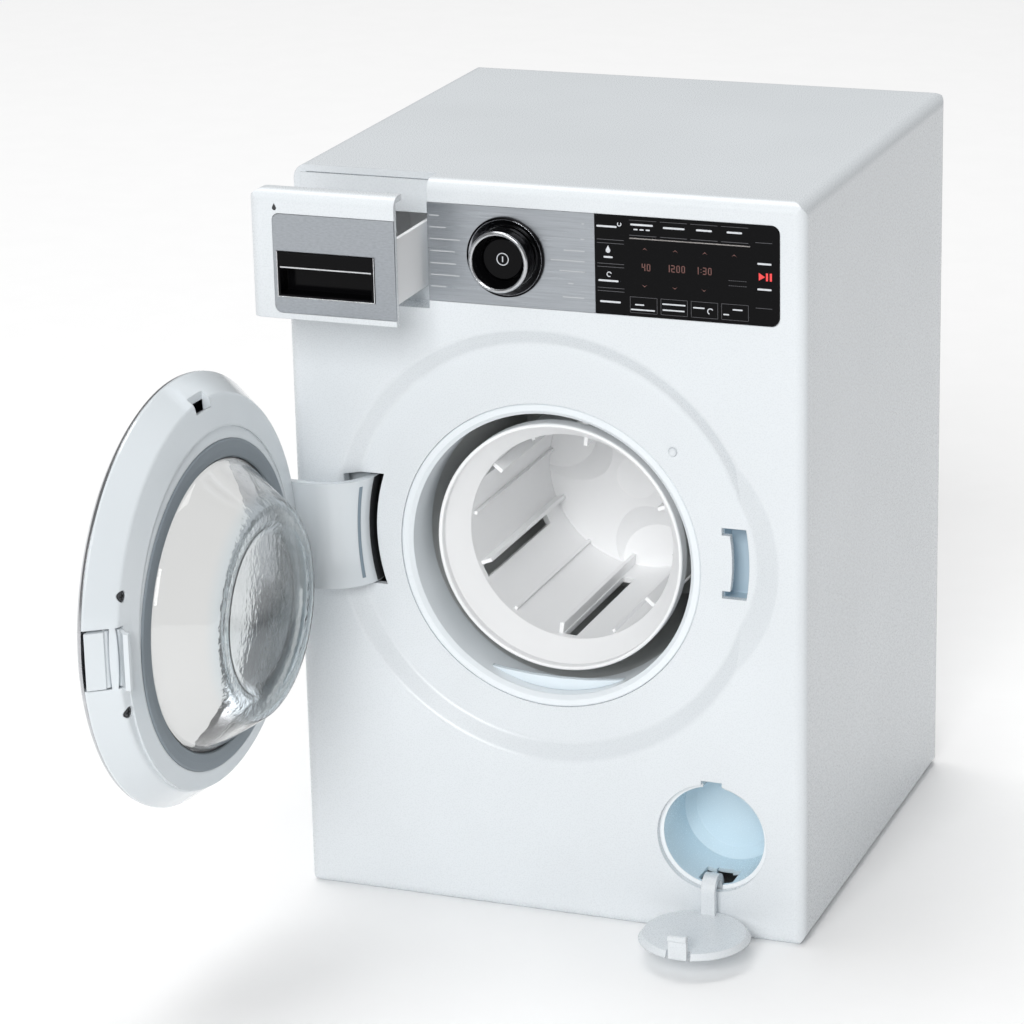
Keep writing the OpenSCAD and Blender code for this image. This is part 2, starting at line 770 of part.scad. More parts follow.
module pulley(z, seat_r, bore_r) {
    y = pulley_y0;
    m = (pulley_t - belt_w) / 2 - 0.2;
    turned(0, z) polygon([
        [bore_r, y], [seat_r + 2, y], [seat_r + 2, y + m], [seat_r, y + m + 0.1],
        [seat_r, y + pulley_t - m - 0.1], [seat_r + 2, y + pulley_t - m],
        [seat_r + 2, y + pulley_t], [bore_r, y + pulley_t]
    ]);
}

module drum_pulley() {
    from_front() color("#30343a") difference() {
        pulley(port_z, pulley_r, shaft_r + seat_gap / 2);
        for (k = [0:4]) rotate_y(72 * k)
            rod((pulley_r + shaft_r) / 2, port_z, pulley_y0 - over, pulley_y0 + pulley_t + over, 5);
    }
}

module motor_pulley() {
    from_front() color("#30343a") pulley(motor_z, pinion_r, motor_shaft_r + seat_gap / 2);
}

// Shaft of the motor with the wound core on it
module motor_rotor() {
    y0 = bracket_y - motor_len;
    core_r = motor_bore - 0.8;
    from_front() color("#a9adb2") turned(0, motor_z) polygon([
        [0, y0 - 1], [motor_shaft_r, y0 - 1], [motor_shaft_r, y0 + 3], [core_r, y0 + 3],
        [core_r, bracket_y - 7], [motor_shaft_r, bracket_y - 7],
        [motor_shaft_r, pulley_y0 + pulley_t + 0.4], [0, pulley_y0 + pulley_t + 0.4]
    ]);
}

module drive_belt() {
    y = pulley_y0 + (pulley_t - belt_w) / 2;
    from_front() color("#141414") difference() {
        belt_loop(y, y + belt_w, belt_gap + belt_t);
        belt_loop(y - over, y + belt_w + over, belt_gap);
    }
}

module motor() {
    y1 = bracket_y;
    from_front() color("#8d9297") difference() {
        union() {
            rod(0, motor_z, y1 - motor_len, y1, motor_r);
            rod(0, motor_z, y1 - motor_len - 2, y1 - motor_len + over, 3.5);
            rod(0, motor_z, y1 - over, y1 + 1.6, 3);
        }
        rod(0, motor_z, y1 - motor_len - 1.2, y1 + 2, motor_shaft_r + run_fit);
        rod(0, motor_z, y1 - motor_len + 1.5, y1 - 4.2, motor_bore);
        for (s = [-1, 1]) rod(8.5 * s, motor_z, y1 - 3.4, y1 + over, 1 + seat_gap / 2);
    }
}

module motor_bracket() {
    half = 17;
    y0 = bracket_y;
    from_front() color("#9a9ea3") difference() {
        union() {
            block(-half, half, y0, y0 + bracket_t, base_t, motor_z + 16);
            block(-half, half, y0 - 22, y0 + bracket_t, base_t, base_t + bracket_t);
        }
        rod(0, motor_z, y0 - over, y0 + bracket_t + over, 3.2);
        for (s = [-1, 1]) {
            rod(8.5 * s, motor_z, y0 - over, y0 + bracket_t + over, 1.2);
            translate([11 * s, y0 - 12, 0]) cylinder(h = 12, r = 1.5);
        }
    }
}

module motor_screws() {
    from_front() color("silver") for (s = [-1, 1])
        screw(8.5 * s, motor_z, bracket_y + bracket_t + 0.9, 6.5, -1, 1, 2.2);
}

module battery_box() {
    w = box_w / 2 + box_wall;
    z0 = box_z - box_wall;
    from_front() color("#3b3f45") difference() {
        block(-w, w, box_y0, box_y1, z0, box_z + box_h + box_wall);
        block(-box_w / 2, box_w / 2, box_y0 + box_wall, box_y1 + over, box_z, box_z + box_h);
    }
}

function cell_x(i) = -box_w / 2 + (i + 0.5) * box_w / cells;

module battery_cells() {
    z = box_z + spring_h + 0.05;
    from_front() for (i = [0:cells - 1]) {
        color("#7c8793") translate([cell_x(i), cell_y, z])
            cylinder(h = cell_len - 1.4, d = cell_d);
        color("silver") translate([cell_x(i), cell_y, z + cell_len - 1.5]) cylinder(h = 1.4, r = 2.7);
    }
}

module battery_springs() {
    from_front() color("silver") for (i = [0:cells - 1])
        translate([cell_x(i), cell_y, box_z]) coil(3.4, 0.35, spring_h, 2);
}

module battery_cover() {
    w = box_w / 2 + lid_margin - seat_gap;
    ridge = 1.2;
    from_front() color(white) difference() {
        union() {
            slab(cover_y + 0.8, cover_y + cover_t) rounded(-w, w, box_z - lid_margin + seat_gap,
                box_z + box_h + 8 - seat_gap, 2);
            for (k = [-2:2]) block(-9, 9, cover_y + cover_t - 0.1, cover_y + cover_t + 0.4,
                box_z + 7 + k * 2.4, box_z + 7 + k * 2.4 + ridge);
        }
        rod(0, box_z + box_h + 4.5, cover_y, cab_d, screw_r + seat_gap);
        rod(0, box_z + box_h + 4.5, cover_y + cover_t - 0.8, cab_d, head_r + seat_gap);
    }
}

module battery_screw() {
    from_front() color("silver")
        screw(0, box_z + box_h + 4.5, cover_y + cover_t + 0.1, 5, -1, screw_r, head_r);
}

module speaker() {
    r = speaker_r;
    d = speaker_d;
    magnet_r = r / 2;
    from_front() color("#25282c") turned(speaker_x, speaker_z) polygon([
        [0, cover_y - d], [magnet_r, cover_y - d], [magnet_r, cover_y - d / 2], [r, cover_y - d / 4],
        [r, cover_y], [r - 1.5, cover_y], [magnet_r - 1, cover_y - d / 3], [0, cover_y - d / 3]
    ]);
}

function tray_x0() = -side_x + tray_left;
function tray_z0() = recess_z0 + tray_lift;

module drawer_guide() {
    x0 = tray_x0();
    z0 = tray_z0();
    y0 = recess_d + recess_wall;
    from_front() color("#dfe4e8") {
        block(-side_x + wall + 0.3, x0 + tray_w + 2.1, y0, y0 + 85, z0 - 2.6, z0 - free_gap);
        block(x0 + tray_w + free_gap, x0 + tray_w + 2.1, y0, y0 + 85, z0 - 2.6, z0 + tray_h - 4);
    }
}

module drawer_out_by() from_front() translate([0, -drawer_out, 0]) children();

module drawer_front() {
    skin = 2;
    lip = recess_d - 2.4;
    g = grip_box();
    drawer_out_by() color(white) difference() {
        intersection() {
            front_outline();
            block(-side_x - over, drawer_x1, -over, lip, drawer_z0, cab_h + over);
        }
        block(-side_x + skin, drawer_x1 + over, skin, lip + over, drawer_z0 - over, cab_h - skin);
        slab(-over, strip_t) drawer_strip(0);
        block(g[0] - seat_gap, g[1] + seat_gap, -over, skin + over, g[2] - seat_gap, g[3] + seat_gap);
    }
}

module drawer_strip(inset) {
    x0 = -side_x + 8.7;
    x1 = inset > 0 ? drawer_x1 - inset : drawer_x1 + over;
    rounded(x0 + inset, x1, strip_z0 + inset, strip_z1 - inset, 2.5);
    translate([drawer_x1 - 12, strip_z0 + inset])
        square([x1 - drawer_x1 + 12, strip_h - 2 * inset]);
}

// Outer corners of the grip on the drawer: left, right, foot, top
function grip_box() = [-side_x + 10, drawer_x1 - 7.4, strip_z0 + 5.5, strip_z0 + 21];

module drawer_fascia() {
    g = grip_box();
    drawer_out_by() color("#b9bcc0") difference() {
        slab(-0.1, strip_t) drawer_strip(seat_gap);
        block(g[0] - seat_gap, g[1] + seat_gap, -over, strip_t + over,
            g[2] - seat_gap, g[3] + seat_gap);
    }
}

module drawer_grip() {
    g = grip_box();
    bar = 5;
    depth = 7;
    drawer_out_by() color("#141518") difference() {
        block(g[0], g[1], -0.4, depth, g[2], g[3]);
        block(g[0] + 1, g[1] - 1, -over, depth - 1.2, g[2] + 1, g[3] - bar);
        block(g[0] + 1, g[1] - 1, 1.2, depth - 1.2, g[2] + 1, g[3] - 1);
    }
}

module drawer_tray() {
    x0 = tray_x0();
    z0 = tray_z0();
    y0 = 2.1;
    t = tray_wall;
    y1 = y0 + tray_len;
    front = y0 + 7.2;
    drawer_out_by() color("#f4f6f8") difference() {
        block(x0, x0 + tray_w, y0, y1, z0, z0 + tray_h);
        block(x0 + t, x0 + tray_w - t, y0 - over, front - t, z0 + t, z0 + tray_h + over);
        block(x0 + t, x0 + tray_w / 2 - t / 2, front, y1 - t, z0 + t, z0 + tray_h + over);
        block(x0 + tray_w / 2 + t / 2, x0 + tray_w - t, front, y1 - t, z0 + t, z0 + tray_h + over);
    }
}

// Spring clip behind the latch slot
module latch_catch() {
    r0 = latch_slot_r0 - 4.6;
    r1 = latch_slot_r1 + 1.4;
    h = latch_slot_h / 2 + 2.4;
    y0 = floor_back;
    from_front() color("#b7c3cf") difference() {
        block(r0, r1, y0, y0 + 9, dish_z - h, dish_z + h);
        block(r0 + 1.2, r1 - 1.2, y0 - over, y0 + 7.6, dish_z - h + 1.4, dish_z + h - 1.4);
    }
}

module hinge_bracket() {
    lug = 5;
    z0 = dish_z - hinge_slot_h / 2 - 0.5;
    z1 = dish_z + hinge_slot_h / 2 + 0.5;
    back = hinge_y + arm_r + 8;
    from_front() color("#dfe4e8") difference() {
        union() {
            for (z = [z0 - lug, z1]) block(hinge_x - 5.5, hinge_x + 5.5, wall + 2, back, z, z + lug);
            block(hinge_x - 5.5, hinge_x + 8, back - 2.5, back, z0 - lug, z1 + lug);
        }
        translate([hinge_x, hinge_y, z0 - lug - over])
            cylinder(h = z1 - z0 + 2 * lug + 2 * over, r = hinge_pin_r);
    }
}

module hinge_pin() {
    z0 = dish_z - hinge_slot_h / 2 - 5.5;
    from_front() color("silver") translate([hinge_x, hinge_y, z0])
        cylinder(h = hinge_slot_h + 11, r = hinge_pin_r);
}

module door_switch() {
    from_front() color("#22262b") block(pin_x - 3.2, pin_x + 7, 18, 24, pin_z - 3.2, pin_z + 10);
}

module pin_spring() {
    from_front() color("silver") translate([pin_x, 13, pin_z]) rotate([-90, 0, 0])
        coil(2.2, 0.3, 5, 4);
}

module door_pin() {
    y0 = dish_depth - 1.2;
    from_front() color("#e8edf1") turned(pin_x, pin_z) polygon([
        [0, y0], [0.8, y0], [pin_r - 0.2, y0 + 0.4], [pin_r, y0 + 1], [pin_r, 9.6], [2.6, 9.6],
        [2.6, 10.6], [1.2, 10.6], [1.2, 15.6], [0, 15.6]
    ]);
}

module filter_cup() {
    r = filter_r - 1.5;
    y0 = wall + 0.1;
    y1 = wall + cup_d;
    lug_x = knuckle_w / 2 + 0.4;
    from_front() color("#bfe0f2") difference() {
        union() {
            turned(filter_x, filter_z) polygon([
                [r, y0], [filter_r + 2.4, y0], [filter_r + 2.4, y0 + 1.4], [r + 1.5, y0 + 1.4],
                [r + 1.5, y1 - 4], [r - 2.6, y1], [0, y1], [0, y1 - 1.5], [r - 3.2, y1 - 1.5],
                [r, y1 - 4.6]
            ]);
            for (s = [-1, 1]) block(filter_x + s * (lug_x + 1) - 1, filter_x + s * (lug_x + 1) + 1,
                y0, y0 + 5.5, pivot_z - 2.2, pivot_z + 3);
        }
        // Way for the arm of the flap, wider above the lugs
        block(filter_x - lug_x, filter_x + lug_x, y0 - over, pivot_y + 12, pivot_z - 6,
            filter_z - r + 3);
        block(filter_x - lug_x - 3.2, filter_x + lug_x + 3.2, y0 + 1.4, pivot_y + 10,
            pivot_z + 3, filter_z - r + 3);
        block(filter_x - tab_w / 2 - 0.5, filter_x + tab_w / 2 + 0.5, y0 - over, y0 + 9,
            filter_z + r - 3, filter_z + filter_r + 1.3);
        translate([filter_x - 10, pivot_y, pivot_z]) rotate([0, 90, 0])
            cylinder(h = 20, r = flap_pin_r);
    }
}

module flap_pin() {
    l = knuckle_w / 2 + 2.4;
    from_front() color("silver") translate([filter_x - l, pivot_y, pivot_z]) rotate([0, 90, 0])
        cylinder(h = 2 * l, r = flap_pin_r);
}

// Swings from shut to the angle that the flap hangs open
module flap_swing() from_front() translate([0, pivot_y, pivot_z]) rotate([flap_open, 0, 0])
    translate([0, -pivot_y, -pivot_z]) children();

module filter_flap() {
    arch_r = 4.1;
    arch_t = 1.1;
    leg_z = pivot_z + 8.27;
    leg_y = pivot_y + 5.5;
    top = filter_z + flap_r;
    flap_swing() color(white) difference() {
        union() {
            taper(filter_x, filter_z, 0, flap_t, flap_r, flap_r - 1.55);
            // Hook from the flap over the sill to the pivot
            block(filter_x - knuckle_w / 2, filter_x + knuckle_w / 2, flap_t - 0.3, leg_y,
                leg_z - arch_t, leg_z + arch_t);
            translate([filter_x - knuckle_w / 2, leg_y, leg_z - arch_r]) intersection() {
                rotate([0, 90, 0]) difference() {
                    cylinder(h = knuckle_w, r = arch_r + arch_t);
                    translate([0, 0, -over]) cylinder(h = knuckle_w + 2 * over, r = arch_r - arch_t);
                }
                translate([-over, 0, -20]) cube([knuckle_w + 2 * over, 20, 40]);
            }
            block(filter_x - knuckle_w / 2, filter_x + knuckle_w / 2, pivot_y, leg_y,
                leg_z - 2 * arch_r - arch_t, leg_z - 2 * arch_r + arch_t);
            translate([filter_x - knuckle_w / 2, pivot_y, pivot_z]) rotate([0, 90, 0])
                cylinder(h = knuckle_w, r = knuckle_r);
            // Snap tab at the far edge
            block(filter_x - tab_w / 2, filter_x + tab_w / 2, 0, 8.5, top - 2.2, top - 0.4);
            translate([filter_x - tab_w / 2, 7.3, top - 0.6]) rotate([0, 90, 0])
                cylinder(h = tab_w, r = 1);
        }
        translate([filter_x - 10, pivot_y, pivot_z]) rotate([0, 90, 0])
            cylinder(h = 20, r = flap_pin_r + run_fit);
        for (s = [-1, 1]) block(filter_x + s * (tab_w / 2 + 0.5) - 0.5,
            filter_x + s * (tab_w / 2 + 0.5) + 0.5, -over, flap_t + over, top - 4, top + over);
    }
}

// Swings the door from shut to open, with depth measured from its seal plane
module door_swing() from_front() translate([hinge_x, hinge_y, 0]) rotate([0, 0, -door_open])
    translate([-hinge_x, door_y - hinge_y, 0]) children();

module door_ring() {
    r = door_r;
    d = door_rim_d;
    s = shoulder_r;
    sd = shoulder_d;
    t = ring_wall;
    door_swing() color(white) difference() {
        turned_offset() polygon(concat(
            [[r, -d], [r, 0.8 - d]],
            arc(s - 1.6, -sd - 1.6, 2.1, 35, 75, 4),
            [[seal_r + 0.9, -0.1], [seal_r + 0.1, -0.1], [seal_r + 0.1, -2.1],
                [seal_in_r + 1.5, -2.1], [seal_in_r + 1.5, -4.3], [s - 1.4, -sd - t],
                [r - t - 0.4, 0.6 - d], [r - t - 0.4, -d]]
        ));
        // Way through for the hinge arm
        slab_arc(arm_face_r + arm_t + seat_gap, arm_face_r - seat_gap, -9, over,
            arm_h / 2 + seat_gap, -1);
        // Pocket of the latch lever, with a bar left across it
        block(latch_u - 3.7, door_r + over, -d - over, latch_w + 2.3, dish_z - pocket_h / 2,
            dish_z + pocket_h / 2);
        block(latch_u - 3.7, latch_u - 0.7, latch_w, over, dish_z - pocket_h / 2,
            dish_z + pocket_h / 2);
        translate([latch_u, latch_w, dish_z - pocket_h / 2 - 1.5])
            cylinder(h = pocket_h + 3, r = latch_pin_r);
        // Clip window near the top
        block(-4.5, 5.9, -sd - 2.3, -sd + 0.95, dish_z + s - 5, dish_z + door_r);
        door_screw_places() rotate([-90, 0, 0]) cylinder(h = 6, r = 1.9);
    }
}

// The ring's rim is centred on the dish and its seal on the porthole
module turned_offset() {
    difference() {
        turned(0, dish_z) intersection() {
            children();
            translate([seal_in_r, -20]) square([40, 40]);
        }
        rod(0, port_z, -20, 20, seal_in_r + 1.5);
        rod(0, port_z, -2.1, 20, seal_r + 0.1);
    }
    intersection() {
        turned(0, port_z) polygon([
            [seal_in_r + 1.5, -4.3], [seal_r + dish_lift + 2.5, -4.3], [seal_r + dish_lift + 2.5, -1.2],
            [seal_r + 0.9, -0.1], [seal_r + 0.1, -0.1], [seal_r + 0.1, -2.1], [seal_in_r + 1.5, -2.1]
        ]);
        rod(0, dish_z, -20, 20, shoulder_r - 1);
    }
}

// Part of a ring round the dish axis on the left (-1) or right (1) side
module slab_arc(r1, r0, y0, y1, half, side) {
    intersection() {
        difference() {
            rod(0, dish_z, y0, y1, r1);
            rod(0, dish_z, y0 - over, y1 + over, r0);
        }
        block(min(0, side * 100), max(0, side * 100), y0 - over, y1 + over, dish_z - half, dish_z + half);
    }
}

module door_screw_places() {
    a = 17.5;
    r = shoulder_r - 1.7;
    for (s = [-1, 1]) translate([r * cos(a), -3.6, dish_z + s * r * sin(a)]) children();
}

module door_screws() {
    door_swing() color("#3a3d42") door_screw_places()
    translate([0, 0.3, 0]) rotate([-90, 0, 0]) difference() {
        cylinder(h = 1, r = 1.7);
        for (a = [0, 90]) rotate([0, 0, a]) translate([-1.2, -0.3, 0.5]) cube([2.4, 0.6, 1]);
    }
}

module door_trim() {
    r = door_r;
    back = -door_rim_d - seat_gap;
    front = -door_rim_d - trim_d;
    bore = seal_in_r + 1.5;
    door_swing() color("#c6cacf") {
        difference() {
            turned(0, dish_z) polygon([
                [r - 14, back], [r, back], [r - 0.3, back - 1], [r - 1.9, front + 0.8],
                [r - 5.4, front], [r - 14, front]
            ]);
            rod(0, port_z, -30, 0, bore + 6);
        }
        turned(0, port_z) polygon([
            [bore + 11.5, back], [bore + 11.5, front], [bore + 4.5, front], [bore + 1.6, front + 2],
            [bore, front + 5.5], [bore, -4.8], [bore + 1.5, -4.8], [bore + 1.5, front + 6],
            [bore + 3.4, back]
        ]);
    }
}

module door_seal() {
    r0 = seal_in_r;
    r1 = seal_r;
    door_swing() color("#8f979d") turned(0, port_z) polygon([
        [r0, -0.7], [r1, -0.7], [r1, 0.2], [r1 - 0.5, 0.5], [(r0 + r1) / 2, 0.6],
        [r0 + 0.4, 0.5], [r0, 0.1]
    ]);
}

// Face of the clear bowl from its rim to the middle, moved in by t
function bowl_face(t) = let (
    r = seal_in_r,
    corner = 5,
    edge = 4,
    dip = 6
) concat(
    [[r - 0.6 - t, 0]],
    arc(r - 16.1, bowl_d - corner, corner - t, bowl_lean, 90, 7),
    arc(bowl_dimple_r + (edge + dip) * sin(45), bowl_d - edge, edge - t, 90, 135, 4),
    arc(bowl_dimple_r, bowl_d - edge + (edge + dip) * sin(45), dip + t, -45, -90, 4),
    [[0, bowl_d - 3.3 - t]]
);

module door_bowl() {
    outer = bowl_face(0);
    inner = bowl_face(bowl_wall);
    door_swing() color([0.85, 0.88, 0.9, 0.4]) turned(0, port_z) polygon(concat(
        [[seal_r - 0.6, -2], [seal_r - 0.6, -0.8], [seal_in_r - 0.6, -0.8]],
        outer,
        [for (i = [len(inner) - 1:-1:1]) inner[i]],
        [[seal_in_r - 0.6 - bowl_wall / cos(bowl_lean) + 2 * tan(bowl_lean), -2]]
    ));
}

// Hinge arm: a curved band round the hinge axis, joined to the door's shoulder
module hinge_arm() {
    top = dish_z + arm_h / 2;
    foot = dish_z - arm_h / 2;
    reach = -hinge_x;
    w_axis = hinge_y - door_y;
    door_swing() color(white) difference() {
        union() {
            slab_arc(arm_face_r + arm_t, arm_face_r, -8.2, w_axis, arm_h / 2, -1);
            // Foot of the arm behind the ring's wall
            slab_arc(arm_face_r + 0.5, arm_face_r - 6, -8.2, -5.8, arm_h / 2, -1);
            translate([hinge_x, w_axis, 0]) {
                rotate_extrude(angle = 90 + arm_tail) arm_section(reach);
                rotate([0, 0, 90 + arm_tail - 6]) rotate_extrude(angle = 6)
                    translate([hub_r - 0.5, foot + 1]) square([arm_r - arm_t - hub_r + 1.5, arm_h - 2]);
                translate([0, 0, foot]) cylinder(h = arm_h, r = hub_r);
            }
        }
        translate([hinge_x, w_axis, foot - over])
            cylinder(h = arm_h + 2 * over, r = hinge_pin_r + run_fit);
    }
}

module arm_section(reach) intersection() {
    difference() {
        translate([reach, dish_z]) circle(arm_face_r + arm_t);
        translate([reach, dish_z]) circle(arm_face_r);
    }
    translate([0, dish_z - arm_h / 2]) square([24, arm_h]);
}

module latch_pin() {
    door_swing() color("silver") translate([latch_u, latch_w, dish_z - pocket_h / 2 - 1.5])
        cylinder(h = pocket_h + 3, r = latch_pin_r);
}

// Lever with a grip flush with the ring and a toe that enters the latch slot
module latch_lever() {
    u = latch_u;
    w = latch_w;
    tip = 2.6;
    door_swing() color("#eef4f8") translate([0, 0, dish_z - latch_h / 2]) difference() {
        union() {
            linear_extrude(latch_h) polygon([
                [u - 3.1, w - 0.6], [u, w - 1.2], [door_r - 2.4, 1.1 - door_rim_d],
                [door_r - 0.2, 1.1 - door_rim_d], [door_r + 0.4, 1.4 - door_rim_d], [u + 2.5, w + 1.3],
                [u + 0.6, w + 1], [u - 1.7, w + 1], [u - 1.7, 0.4 - shoulder_d], [u + 2, 0.9],
                [u + 1.8, tip], [u + 0.2, tip], [u - 0.2, 1], [u - 3.1, 0.6 - shoulder_d]
            ]);
            translate([u, w, 0]) cylinder(h = latch_h, r = latch_barrel_r);
        }
        translate([u, w, -over]) cylinder(h = latch_h + 2 * over, r = latch_pin_r + run_fit);
    }
}

cabinet_shell();
front_panel();
base_plate();
back_cover();
back_screws();
control_fascia();
touch_panel();
knob_bezel();
knob_ring();
porthole_ring();
drip_lip();
tub();
drum_bearing();
motor();
motor_bracket();
motor_screws();
drive_belt();
battery_box();
battery_cells();
battery_springs();
battery_cover();
battery_screw();
circuit_board();
board_screws();
rotary_switch();
power_switch();
speaker();
drawer_guide();
latch_catch();
hinge_bracket();
hinge_pin();
door_switch();
pin_spring();
filter_cup();
flap_pin();
door_ring();
door_trim();
door_seal();
door_bowl();
hinge_arm();
door_screws();
latch_pin();
latch_lever();
drawer_front();
drawer_fascia();
drawer_grip();
drawer_tray();
knob_body();
knob_rim();
knob_shaft();
knob_clip();
power_button();
drum_rim();
drum_basket();
drum_shaft();
drum_pulley();
motor_pulley();
motor_rotor();
filter_flap();
door_pin();
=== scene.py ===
import math

import bmesh
import bpy
from mathutils import Matrix, Vector


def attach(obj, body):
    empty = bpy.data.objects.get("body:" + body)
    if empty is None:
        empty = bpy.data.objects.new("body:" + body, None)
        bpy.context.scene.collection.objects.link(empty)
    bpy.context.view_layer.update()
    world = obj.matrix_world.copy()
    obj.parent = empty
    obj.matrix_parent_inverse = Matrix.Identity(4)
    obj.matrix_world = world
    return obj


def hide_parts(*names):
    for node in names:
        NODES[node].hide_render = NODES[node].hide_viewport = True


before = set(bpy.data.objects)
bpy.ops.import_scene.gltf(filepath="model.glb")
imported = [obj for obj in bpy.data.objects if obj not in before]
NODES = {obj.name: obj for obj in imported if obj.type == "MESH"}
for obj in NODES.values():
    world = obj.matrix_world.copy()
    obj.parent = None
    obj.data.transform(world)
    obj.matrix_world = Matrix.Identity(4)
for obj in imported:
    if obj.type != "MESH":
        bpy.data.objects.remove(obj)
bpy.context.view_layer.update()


# Sizes of the part that the scene's own pieces follow, in millimetres and degrees

MM = 0.001
FRONT = -89.0  # the front plane, along Y
PANEL_Y = FRONT - 0.2  # the face of the black panel
BUTTON_Y = FRONT - 3.1  # the face of the power button
DRAWER_Y = FRONT - 28.0  # the face of the open drawer
BOARD_Y = FRONT + 15.6  # the back of the circuit board
# The cup's lighter front edge is painted light, and the blue-grey behind it is painted shade, on one white
# plastic.
CUP_LIP_Y = FRONT + 2.8  # where the filter cup's light front edge ends
CUP_LIP_FADE = 0.1
KNOB_X, KNOB_Z = -11.3, 235.5
PORT_Z = 130.2  # the height of the axis of the porthole, the drum and the shut door

HINGE_X = -80.7
HINGE_DEPTH = 8.05  # the hinge's axis behind the front plane
SEAL_DEPTH = 3.5  # the shut door's seal plane behind the front plane
DOOR_TURN = -91.4  # from the shut door to the open one

SEAL_R = 55.2
SEAL_IN_R = SEAL_R - 6.1
SEAL_GAP = 0.6
BOWL_RIM_R = SEAL_IN_R - SEAL_GAP
BOWL_DEPTH = 18.6
BOWL_WALL = 1.5
BOWL_LEAN = 35.0
CORNER_AT_R, CORNER_R = SEAL_IN_R - 16.1, 5.0
CREST_R = 4.0
DIMPLE_R, DIP_R = 23.5, 6.0
FLANGE_BACK, FLANGE_FRONT = -2.0, -0.8
END_X0, END_X1 = -74.5, -71.0  # where the end face of the open door's bowl begins, along X

ARM_R, ARM_Z = 15.1, 134.3  # the hinge arm's face at mid height, about the hinge
ARM_HOLLOW_R = 65.6  # the radius that hollows this face from top to bottom
STRIP_LIFT, STRIP_THICK = 0.03, 0.1


# Material nodes

def new_material(name):
    mat = bpy.data.materials.new(name)
    mat.use_nodes = True
    tree = mat.node_tree
    tree.nodes.clear()
    out = tree.nodes.new("ShaderNodeOutputMaterial")
    bsdf = tree.nodes.new("ShaderNodeBsdfPrincipled")
    tree.links.new(bsdf.outputs["BSDF"], out.inputs["Surface"])
    return mat, tree, bsdf


def object_coords(tree, scale=(1, 1, 1)):
    coord = tree.nodes.new("ShaderNodeTexCoord")
    mapping = tree.nodes.new("ShaderNodeMapping")
    mapping.inputs["Scale"].default_value = scale
    tree.links.new(coord.outputs["Object"], mapping.inputs["Vector"])
    return mapping.outputs["Vector"]


def along(tree, vector, axis):
    node = tree.nodes.new("ShaderNodeSeparateXYZ")
    tree.links.new(vector, node.inputs["Vector"])
    return node.outputs[axis]


def noise(tree, vector, scale, detail=3.0, rough=0.5):
    node = tree.nodes.new("ShaderNodeTexNoise")
    node.inputs["Scale"].default_value = scale
    node.inputs["Detail"].default_value = detail
    node.inputs["Roughness"].default_value = rough
    tree.links.new(vector, node.inputs["Vector"])
    return node.outputs["Fac"]


def ramp(tree, value, low, high, start=0.35, end=0.65):
    """Values from start to end become low to high; the defaults suit a noise."""
    node = tree.nodes.new("ShaderNodeMapRange")
    node.inputs["From Min"].default_value = start
    node.inputs["From Max"].default_value = end
    node.inputs["To Min"].default_value = low
    node.inputs["To Max"].default_value = high
    tree.links.new(value, node.inputs["Value"])
    return node.outputs["Result"]


def mix_colour(tree, factor, first, second):
    node = tree.nodes.new("ShaderNodeMix")
    node.data_type = "RGBA"
    node.inputs["A"].default_value = (*first, 1)
    node.inputs["B"].default_value = (*second, 1)
    tree.links.new(factor, node.inputs["Factor"])
    return node.outputs["Result"]


def multiply_add(tree, value):
    """A node that multiplies a linked value; its other two inputs are set by the caller."""
    node = tree.nodes.new("ShaderNodeMath")
    node.operation = "MULTIPLY_ADD"
    tree.links.new(value, node.inputs[0])
    return node


def bump(tree, height, strength, distance, edge=0.0):
    node = tree.nodes.new("ShaderNodeBump")
    node.inputs["Strength"].default_value = strength
    node.inputs["Distance"].default_value = distance
    tree.links.new(height, node.inputs["Height"])
    if edge > 0:
        bevel = tree.nodes.new("ShaderNodeBevel")
        bevel.samples = 4
        bevel.inputs["Radius"].default_value = edge
        tree.links.new(bevel.outputs["Normal"], node.inputs["Normal"])
    return node.outputs["Normal"]


def soften(bsdf, weight):
    bsdf.inputs["Subsurface Weight"].default_value = weight
    bsdf.inputs["Subsurface Radius"].default_value = (0.004, 0.004, 0.004)


# Kinds of material; lengths in them are in metres

PLASTIC_GRAIN = 2200.0
PLASTIC_BUMP, PLASTIC_BUMP_DEPTH = 0.25, 0.000003
PLASTIC_EDGE = 0.0004
PLASTIC_IOR = 1.5
WORN = 0.97


def plastic(name, colour, rough, grain=PLASTIC_GRAIN, edge=PLASTIC_EDGE, subsurface=0.0, coat=0.0,
            waves=0.0, shine=0.5):
    """Moulded plastic: a faint mottle, a fine grain and, with waves, a slightly uneven gloss."""
    mat, tree, bsdf = new_material(name)
    vector = object_coords(tree)
    mottle = noise(tree, vector, 18.0, 2.0)
    fine = noise(tree, vector, grain, 2.0, 0.6)
    worn = tuple(c * WORN for c in colour)
    tree.links.new(mix_colour(tree, ramp(tree, mottle, 0, 1), colour, worn), bsdf.inputs["Base Color"])
    tree.links.new(ramp(tree, fine, rough * 0.92, rough * 1.08), bsdf.inputs["Roughness"])
    bsdf.inputs["Specular IOR Level"].default_value = shine
    height = fine
    if waves > 0:
        both = multiply_add(tree, mottle)
        both.inputs[1].default_value = waves
        tree.links.new(fine, both.inputs[2])
        height = both.outputs[0]
    normal = bump(tree, height, PLASTIC_BUMP, PLASTIC_BUMP_DEPTH, edge)
    tree.links.new(normal, bsdf.inputs["Normal"])
    bsdf.inputs["IOR"].default_value = PLASTIC_IOR
    if subsurface > 0:
        soften(bsdf, subsurface)
    if coat > 0:
        bsdf.inputs["Coat Weight"].default_value = coat
        bsdf.inputs["Coat Roughness"].default_value = 0.06
    return mat


